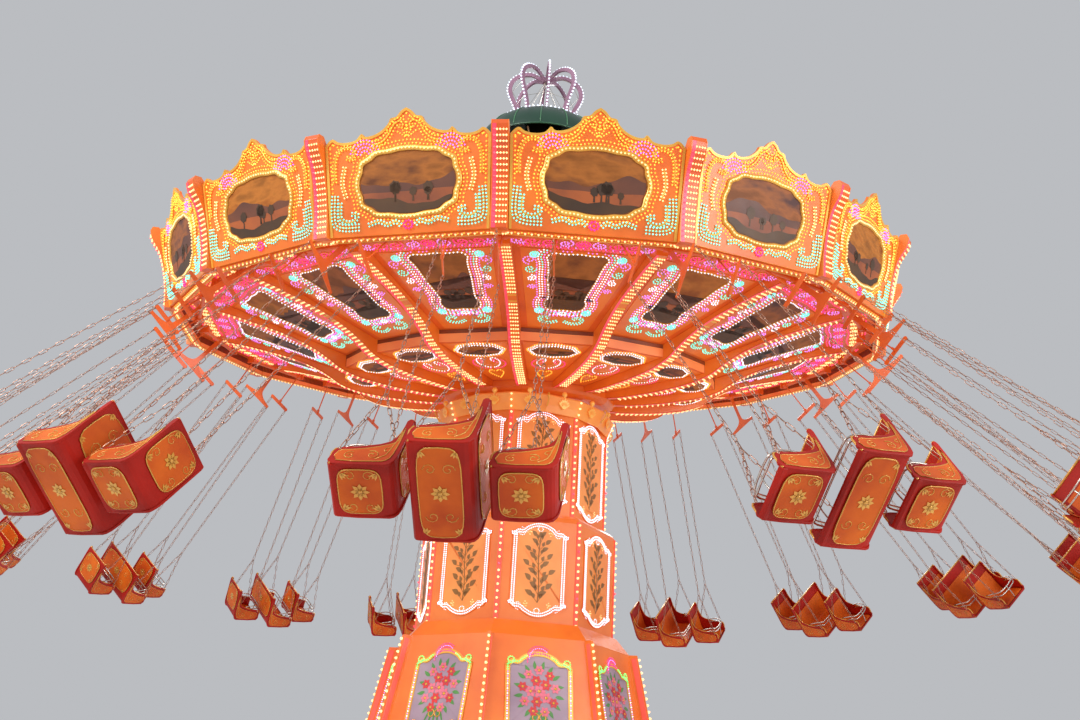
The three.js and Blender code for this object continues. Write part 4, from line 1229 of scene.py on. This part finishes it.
def soffit_panels():
    frames, boards, scrolls, step_shade_strips, step_lit_bands = piles(5)
    lights = Lights("soffit", "canopy")
    pictures = Pictures("soffit_picture", "canopy")
    hub_half, step_half, bend_half = (radius * BAY_COSINE * BAY_TANGENT - RIB_WIDTH / 2
                                      for radius in (HUB_RADIUS, STEP_RADIUS, SOFFIT_BEND_RADIUS))
    board_wall = 0.008
    on_board = shift(0, 0, board_wall)
    reach = step_half + 0.01
    for i in range(SIDES):
        face, length = soffit_face(i, SOFFIT_BEND_RADIUS, SOFFIT_BEND_HEIGHT, STEP_RADIUS, STEP_TOP)
        boards.add(raised(tapered(step_half, bend_half, length, 0.03, 0.995, 0.09), GAP, board_wall), face)
        outer_soffit(i, face @ on_board, length, frames, scrolls, lights, pictures)
        face, _ = soffit_face(i, RIM_INNER_RADIUS, SOFFIT_EDGE_HEIGHT, SOFFIT_BEND_RADIUS, SOFFIT_BEND_HEIGHT)
        edge_soffit(face, scrolls, lights)
        face, length = soffit_face(i, STEP_RADIUS, STEP_FOOT, HUB_RADIUS, HUB_PANEL_HEIGHT)
        boards.add(raised(tapered(hub_half, step_half, length, 0.04, 0.98, 0.025), GAP, board_wall), face)
        inner_soffit(i, face @ on_board, length, frames, scrolls, lights, pictures)
        # The step's wall: a lower band painted as lit, and a dark strip over it painted as the shade of a
        # shadow gap
        wall = CANOPY @ facing(bay_azimuth(i), STEP_RADIUS * BAY_COSINE + 0.0006, STEP_FOOT, 90)
        step_lit_bands.add(raised(rectangle(-reach, reach, 0.004, 0.118), 0.0, 0.006), wall)
        step_shade_strips.add(raised(rectangle(-reach, reach, 0.12, 0.167), 0.0, 0.012), wall)
    boards.make("soffit_boards", ORANGE, "canopy", bevel=0.003)
    frames.make("soffit_picture_frames", GOLD, "canopy")
    scrolls.make("soffit_scrolls", GOLD, "canopy", shade_smooth=True)
    step_shade_strips.make("soffit_step_painted_shade", SHADE_BROWN, "canopy")
    step_lit_bands.make("soffit_step_painted_light", LIT_PINK_ORANGE, "canopy")
    pictures.make()
    lights.make()


def rim_lights():
    """Bulbs along the rim's lower edge, and on its inner face slats in painted shade and a lip in painted
    light.
    """
    lights = Lights("rim", "canopy")
    shaded_slats, lit_lips, beads = piles(3)
    half_edge = RIM_RADIUS * BAY_COSINE * BAY_TANGENT
    reach = RIM_INNER_RADIUS * BAY_COSINE * BAY_TANGENT - 0.01
    xs = np.linspace(-half_edge + 0.14, half_edge - 0.14, 25)
    jog = np.array([(half_edge - 0.1, 0.0), (half_edge - 0.08, -0.03), (half_edge - 0.05, -0.045)])
    for i in range(SIDES):
        face = CANOPY @ facing(bay_azimuth(i), RIM_RADIUS * BAY_COSINE - 0.04, -0.02, 180)
        lights.add("warm", pairs(xs, 0), 0.028, face, 0.001)
        lights.add("yellow", pairs(xs[:-1] + 0.035, 0.028), 0.021, face, 0.001)
        for side in (-1, 1):
            lights.add("warm", jog * [side, 1], 0.028, face, 0.001)
        bead = [(-half_edge + 0.02, -0.052, 0.004), (half_edge - 0.02, -0.052, 0.004)]
        beads.add(tube(bead, 0.009, 6), face)
        back = CANOPY @ facing(bay_azimuth(i), RIM_INNER_RADIUS * BAY_COSINE - 0.0006, -0.018, -90)
        # Painted light on the lip and painted shade on the slats of the rim's inner face
        lit_lips.add(raised(rectangle(-reach, reach, -0.06, 0.0), 0.0, 0.005), back)
        for x in np.arange(-reach, reach, 0.032):
            shaded_slats.add(raised(rectangle(x, x + 0.021, -0.155, -0.064), 0.0, 0.007), back)
    lights.make()
    shaded_slats.make("rim_inner_slats_painted_shade", SHADE_BROWN, "canopy")
    lit_lips.make("rim_inner_lip_painted_light", LIT_PINK_ORANGE, "canopy")
    beads.make("rim_bead", GOLD, "canopy", shade_smooth=True)


def roof_seams():
    seams = Pile()
    for i in range(SIDES):
        line = [CANOPY @ turn(rib_azimuth(i)) @ Vector((0, -r, z + 0.004)) for r, z in (ROOF_EAVES, ROOF_TOP)]
        seams.add(tube(line, 0.018, 6))
    seams.make("roof_seams", SEAM_GREEN, "canopy", shade_smooth=True)


# Chairs

def link_shape():
    """One oval chain link along +z."""
    half, radius, wire = 0.043, 0.014, 0.0046
    t = np.linspace(-math.pi / 2, math.pi / 2, 3)
    top = np.stack([radius * np.sin(t), np.zeros(3), half + radius * np.cos(t)], axis=1)
    return tube(np.vstack([top, top * [-1, 1, -1]]), wire, 3, closed=True)


LINK = link_shape()
LINK_PITCH = 0.102


def chain(pile, start, end):
    """A run of links, each turned a quarter against the last."""
    along = end - start
    count = max(2, int(along.length / LINK_PITCH))
    aim = along.to_track_quat("Z", "Y").to_matrix().to_4x4()
    stretch = Matrix.Diagonal((1, 1, along.length / count / LINK_PITCH, 1))
    for k in range(count):
        place = start + along * ((k + 0.5) / count)
        pile.add(LINK, shift(*place) @ aim @ turn(90 * (k % 2)) @ stretch)


def side_on(x, y):
    """A face seen from the chair's side: x forward to back, y up, z across."""
    return shift(x, y, -CHAIN_LENGTH) @ spin(90, "X")


def chair_face(origin, up, out):
    """A flat face on a chair: x runs across the chair, y along up, z along out."""
    return Matrix(((0, 1, 0, 0), (*up, 0), (*out, 0), (*origin, 1))).transposed()


def gilded_panel(golds, panels, face, half_width, half_height):
    """A painted field in a gilded border with a blossom, scrolls and corner leaves."""
    def gild(length, width, angle, origin, z):
        golds.add(flat(turned_flat(leaf(length, width), angle, origin), z), face)

    field = lobed_oval((0, 0), half_width, half_height, 0.0, 8, 24, 0.45)
    panels.add(raised(field, 0.0, 0.004), face)
    golds.add(tube(lifted(field, 0.004), 0.006, 3, closed=True), face)
    for angle in range(0, 360, 45):
        gild(0.075, 0.04, angle, (0, 0), 0.009)
    golds.add(raised(ellipse((0, 0), 0.018, 0.018, 8), 0.009, 0.015), face)
    size = min(0.055, half_width * 0.25)
    for side in (-1, 1):
        for end in (-1, 1):
            centre = (side * (0.11 + 0.35 * (half_width - 0.11)), end * half_height * 0.42)
            curl = spiral(centre, 90 * end, -1.2 * side * end, size, 0.01, 8)
            golds.add(tube(lifted(curl, 0.005), 0.0045, 3), face)
            corner = (side * (half_width - 0.035), end * (half_height - 0.03))
            inward = math.degrees(math.atan2(-corner[1], -corner[0]))
            for spread in (-28, 0, 28):
                gild(0.06, 0.022, inward + spread, corner, 0.008)


def safety_frame(half, lift, reach):
    """A bar bent round the front of a seat, between its cheeks."""
    right = np.array([(0.06, -half + 0.03, 0.25), (-0.1, -half + 0.035, 0.28),
                      (-0.2 - reach, -half + 0.07, 0.27), (-0.228, -half + 0.14, 0.26)])
    bend = np.vstack([right, [(-0.235, 0, 0.255)], right[::-1] * [1, -1, 1]])
    return smooth(bend + [0, 0, lift], 3)


def chair(sorted_piles, matrix, offset_x, width):
    """A moulded bucket seat with gilded cheeks, a bent safety frame and a foot bar."""
    shells, golds, tubes, panels = sorted_piles
    half = width / 2
    for side in (-1, 1):
        face = matrix @ side_on(offset_x, side * (half - 0.013))
        shells.add(slab(SEAT_CHEEK, -0.011, 0.011), face)
        golds.add(tube(lifted(CHEEK_RIM, 0.0), 0.011, 4), face)
        # The panel and its gilding stand out of the cheek's outer side
        stand = -side * 0.0115
        panels.add(slab(CHEEK_PANEL, *sorted((0.7 * stand, 1.25 * stand))), face)
        golds.add(tube(lifted(CHEEK_PANEL, 1.2 * stand), 0.004, 3, closed=True), face)
        for path in CHEEK_SCROLLS:
            golds.add(tube(lifted(path, 1.3 * stand), 0.005, 3), face)
    middle = matrix @ side_on(offset_x, 0)
    shells.add(slab(SEAT_SHELL, -half + 0.014, half - 0.014), middle)
    panels.add(slab(CUSHION, -half + 0.05, half - 0.05), middle)
    seat = matrix @ shift(offset_x, 0, -CHAIN_LENGTH)
    base = chair_face((-0.03, 0, -0.0165), (1, 0, 0), (0, 0, -1))
    back = chair_face((0.274, 0, 0.34), (0.129, 0, 0.9916), (0.9916, 0, -0.129))
    gilded_panel(golds, panels, seat @ base, half - 0.05, 0.165)
    gilded_panel(golds, panels, seat @ back, half - 0.05, 0.21)
    top = matrix @ shift(offset_x + 0.29, 0, -CHAIN_LENGTH + 0.592)
    golds.add(tube([(0, -half + 0.02, 0), (0, half - 0.02, 0)], 0.012, 6), top)
    for lift, reach in ((0.0, 0.0), (-0.06, 0.012)):
        tubes.add(tube(safety_frame(half, lift, reach), 0.0095, 5), seat)
    for y in (-0.22, 0.22) if width == DOUBLE_WIDTH else (0.0,):
        post = smooth([(-0.233, y, 0.255), (-0.243, y, 0.14), (-0.235, y, 0.02)], 4)
        tubes.add(tube(post, 0.008, 6), seat)
    tubes.add(tube([(-0.237, -half + 0.02, 0.0), (-0.237, half - 0.02, 0.0)], 0.01, 6), seat)


# A chair's outlines in side view, x to the back and y up
SEAT_CHEEK = smooth([(-0.235, -0.005), (0.1, -0.018), (0.205, -0.005), (0.25, 0.1), (0.27, 0.3),
                     (0.298, 0.56), (0.28, 0.6), (0.245, 0.58), (0.225, 0.42), (0.16, 0.29), (0.02, 0.235),
                     (-0.12, 0.21), (-0.22, 0.195), (-0.252, 0.1)], 2, closed=True)
CHEEK_RIM = smooth([(0.29, 0.592), (0.262, 0.6), (0.225, 0.42), (0.16, 0.28), (0.02, 0.235), (-0.12, 0.2),
                    (-0.235, 0.19), (-0.252, 0.1), (-0.24, 0.0)], 2)
CHEEK_PANEL = smooth([(-0.2, 0.03), (0.08, 0.02), (0.17, 0.035), (0.21, 0.11), (0.238, 0.3), (0.25, 0.47),
                      (0.225, 0.3), (0.16, 0.24), (0.02, 0.19), (-0.12, 0.165), (-0.2, 0.15)], 2, closed=True)
CHEEK_SCROLLS = (spiral((-0.11, 0.09), 60, 1.3, 0.05, 0.01, 8),
                 spiral((0.06, 0.1), 120, -1.3, 0.055, 0.01, 8),
                 smooth([(0.09, 0.05), (0.16, 0.1), (0.19, 0.2), (0.22, 0.32), (0.235, 0.42)], 2),
                 smooth([(0.19, 0.2), (0.15, 0.19), (0.14, 0.16), (0.16, 0.15)], 2))
SEAT_LINE = smooth([(-0.25, 0.03), (-0.235, -0.002), (-0.2, 0.008), (-0.05, 0.002), (0.08, 0.0),
                    (0.16, 0.008), (0.205, 0.04), (0.225, 0.12), (0.245, 0.3), (0.268, 0.48), (0.284, 0.575),
                    (0.298, 0.6)], 2)
SEAT_SHELL = np.vstack([SEAT_LINE, offset(SEAT_LINE, -0.016)[::-1]])
CUSHION = smooth([(-0.2, 0.012), (-0.21, 0.04), (-0.05, 0.05), (0.12, 0.045), (0.19, 0.07), (0.215, 0.2),
                  (0.242, 0.4), (0.25, 0.41), (0.228, 0.14), (0.19, 0.02), (0.1, 0.008)], 2, closed=True)


def flared_plate():
    half = smooth([(0.034, -0.3), (0.038, -0.42), (0.06, -0.48), (0.13, -0.525), (0.24, -0.55),
                   (0.33, -0.56)], 4)
    outline = np.vstack([[(0.036, 0.04)], half, [(0.335, -0.575), (0.33, -0.605)]])
    return np.vstack([outline, mirrored(outline)[::-1]])


def bar_plate():
    end = round_path((0.212, -0.58), 0.028, 0.028, np.linspace(-math.pi / 2, math.pi / 2, 8))
    return np.vstack([end, mirrored(end)[::-1]])


def hanger(pile, matrix, x):
    """What a single seat hangs from: a stalk below the pivot tube and a flat spreader bar."""
    pile.add(slab(bar_plate(), -0.007, 0.007), matrix @ shift(x, 0, 0) @ ACROSS)
    pile.add(tube([(x, 0, -0.02), (x, 0, -0.54)], 0.011, 6), matrix)
    pile.add(tube([(x - 0.04, 0, 0), (x + 0.04, 0, 0)], 0.042, 10), matrix)
    pile.add(prism((x, 0, -0.515), (x, 0, -0.605), 0.034, 0.034), matrix)


def chain_line(chains, matrix, x, cheek, reach, side):
    """The shackle, the upper run and the two branches on one side of a seat."""
    shackle = ellipse((side * reach, -0.592), 0.016, 0.03, 8)
    chains.add(tube(lifted(shackle, 0.0), 0.006, 4, closed=True), matrix @ shift(x, 0, 0) @ ACROSS)
    # Share of the way from the hanger to the seat's front
    share = (SPLIT_DROP - HANGER_DROP) / (CHAIN_LENGTH - 0.2 - HANGER_DROP)
    start = matrix @ Vector((x, side * reach, -HANGER_DROP))
    split = matrix @ Vector((x, side * (reach + (cheek - reach) * share), -SPLIT_DROP))
    front = matrix @ Vector((x - 0.2, side * cheek, -CHAIN_LENGTH + 0.2))
    back = matrix @ Vector((x + 0.19, side * cheek, -CHAIN_LENGTH + 0.34))
    chain(chains, start, split)
    chain(chains, split, front)
    chain(chains, split, back)
    pin = [(x - 0.2, side * (cheek + end), -CHAIN_LENGTH + 0.185) for end in (-0.012, 0.014)]
    chains.add(tube(pin, 0.012, 6), matrix)


def swing_set(index, joint):
    """One bay's pivot tube, hangers, chains and three chairs, flung out as far as its joint swings in."""
    name = f"{index + 1:02d}"
    pivot = CANOPY @ turn(rib_azimuth(index)) @ shift(0, -PIVOT_RADIUS, 0.06)
    matrix = pivot @ spin(joint["range_deg"][0], "X")
    shells, golds, tubes, chains, hangers, panels = piles(6)
    hangers.add(tube([(-0.66, 0, 0), (0.66, 0, 0)], 0.028, 10), matrix)
    hangers.add(slab(flared_plate(), -0.006, 0.006), matrix @ ACROSS)
    hangers.add(tube([(-0.05, 0, 0), (0.05, 0, 0)], 0.042, 10), matrix)
    # Each chair: its place along the tube, its width, half the width of its hanger
    for x, width, reach in ((0.0, DOUBLE_WIDTH, 0.315), (-CHAIR_SPACING, SINGLE_WIDTH, 0.212),
                            (CHAIR_SPACING, SINGLE_WIDTH, 0.212)):
        if x:
            hanger(hangers, matrix, x)
        chair((shells, golds, tubes, panels), matrix, x, width)
        for side in (-1, 1):
            chain_line(chains, matrix, x, width / 2 - 0.01, reach, side)
    body = "swing_" + name
    made = shells.make(f"chair_shells_{name}", SEAT_RED, body, bevel=0.003)
    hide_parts("swing_set_" + name)
    panels.make(f"chair_panels_{name}", SEAT_PANEL, body)
    golds.make(f"chair_gilding_{name}", SEAT_GOLD, body, shade_smooth=True)
    tubes.make(f"chair_frames_{name}", CHROME, body, shade_smooth=True)
    chains.make(f"chair_chains_{name}", CHAIN_STEEL, body, shade_smooth=True)
    hangers.make(f"chair_hangers_{name}", DEEP_ORANGE, body)


def cad_materials():
    """The CAD nodes that stay in sight take their finished materials."""
    for finish, names in ((DARK_STEEL, ("ground_frame", "inner_mast", "centre_mast", "tilt_ring")),
                          (ORANGE, ("base_skirt", "skirt_shoulder", "hub_wall", "hub_lip", "hub_bowl",
                                    "sweep_frame", "rim_ring")),
                          (PEACH, ("middle_casing", "upper_casing")),
                          (COLLAR_ORANGE, ("collar",)),
                          (DEEP_ORANGE, ("soffit_inner", "soffit_outer", "soffit_edge")),
                          # The step riser takes the painted shade brown
                          (SHADE_BROWN, ("step_riser",)),
                          (GREEN, ("roof_wall", "roof_lower", "roof_upper"))):
        for name in names:
            for slot in frame["nodes"][name].material_slots:
                slot.material = finish


studio()
cad_materials()
for casing in CASINGS:
    casing_faces(*casing)
skirt_faces()
collar_ornaments()
crown()
dome()
fascia_boards()
brackets()
rib_lights()
soffit_panels()
rim_lights()
roof_seams()
joints = {joint["name"]: joint for joint in frame["joints"]}
for index in range(SIDES):
    swing_set(index, joints[f"swing_{index + 1:02d}_swing"])
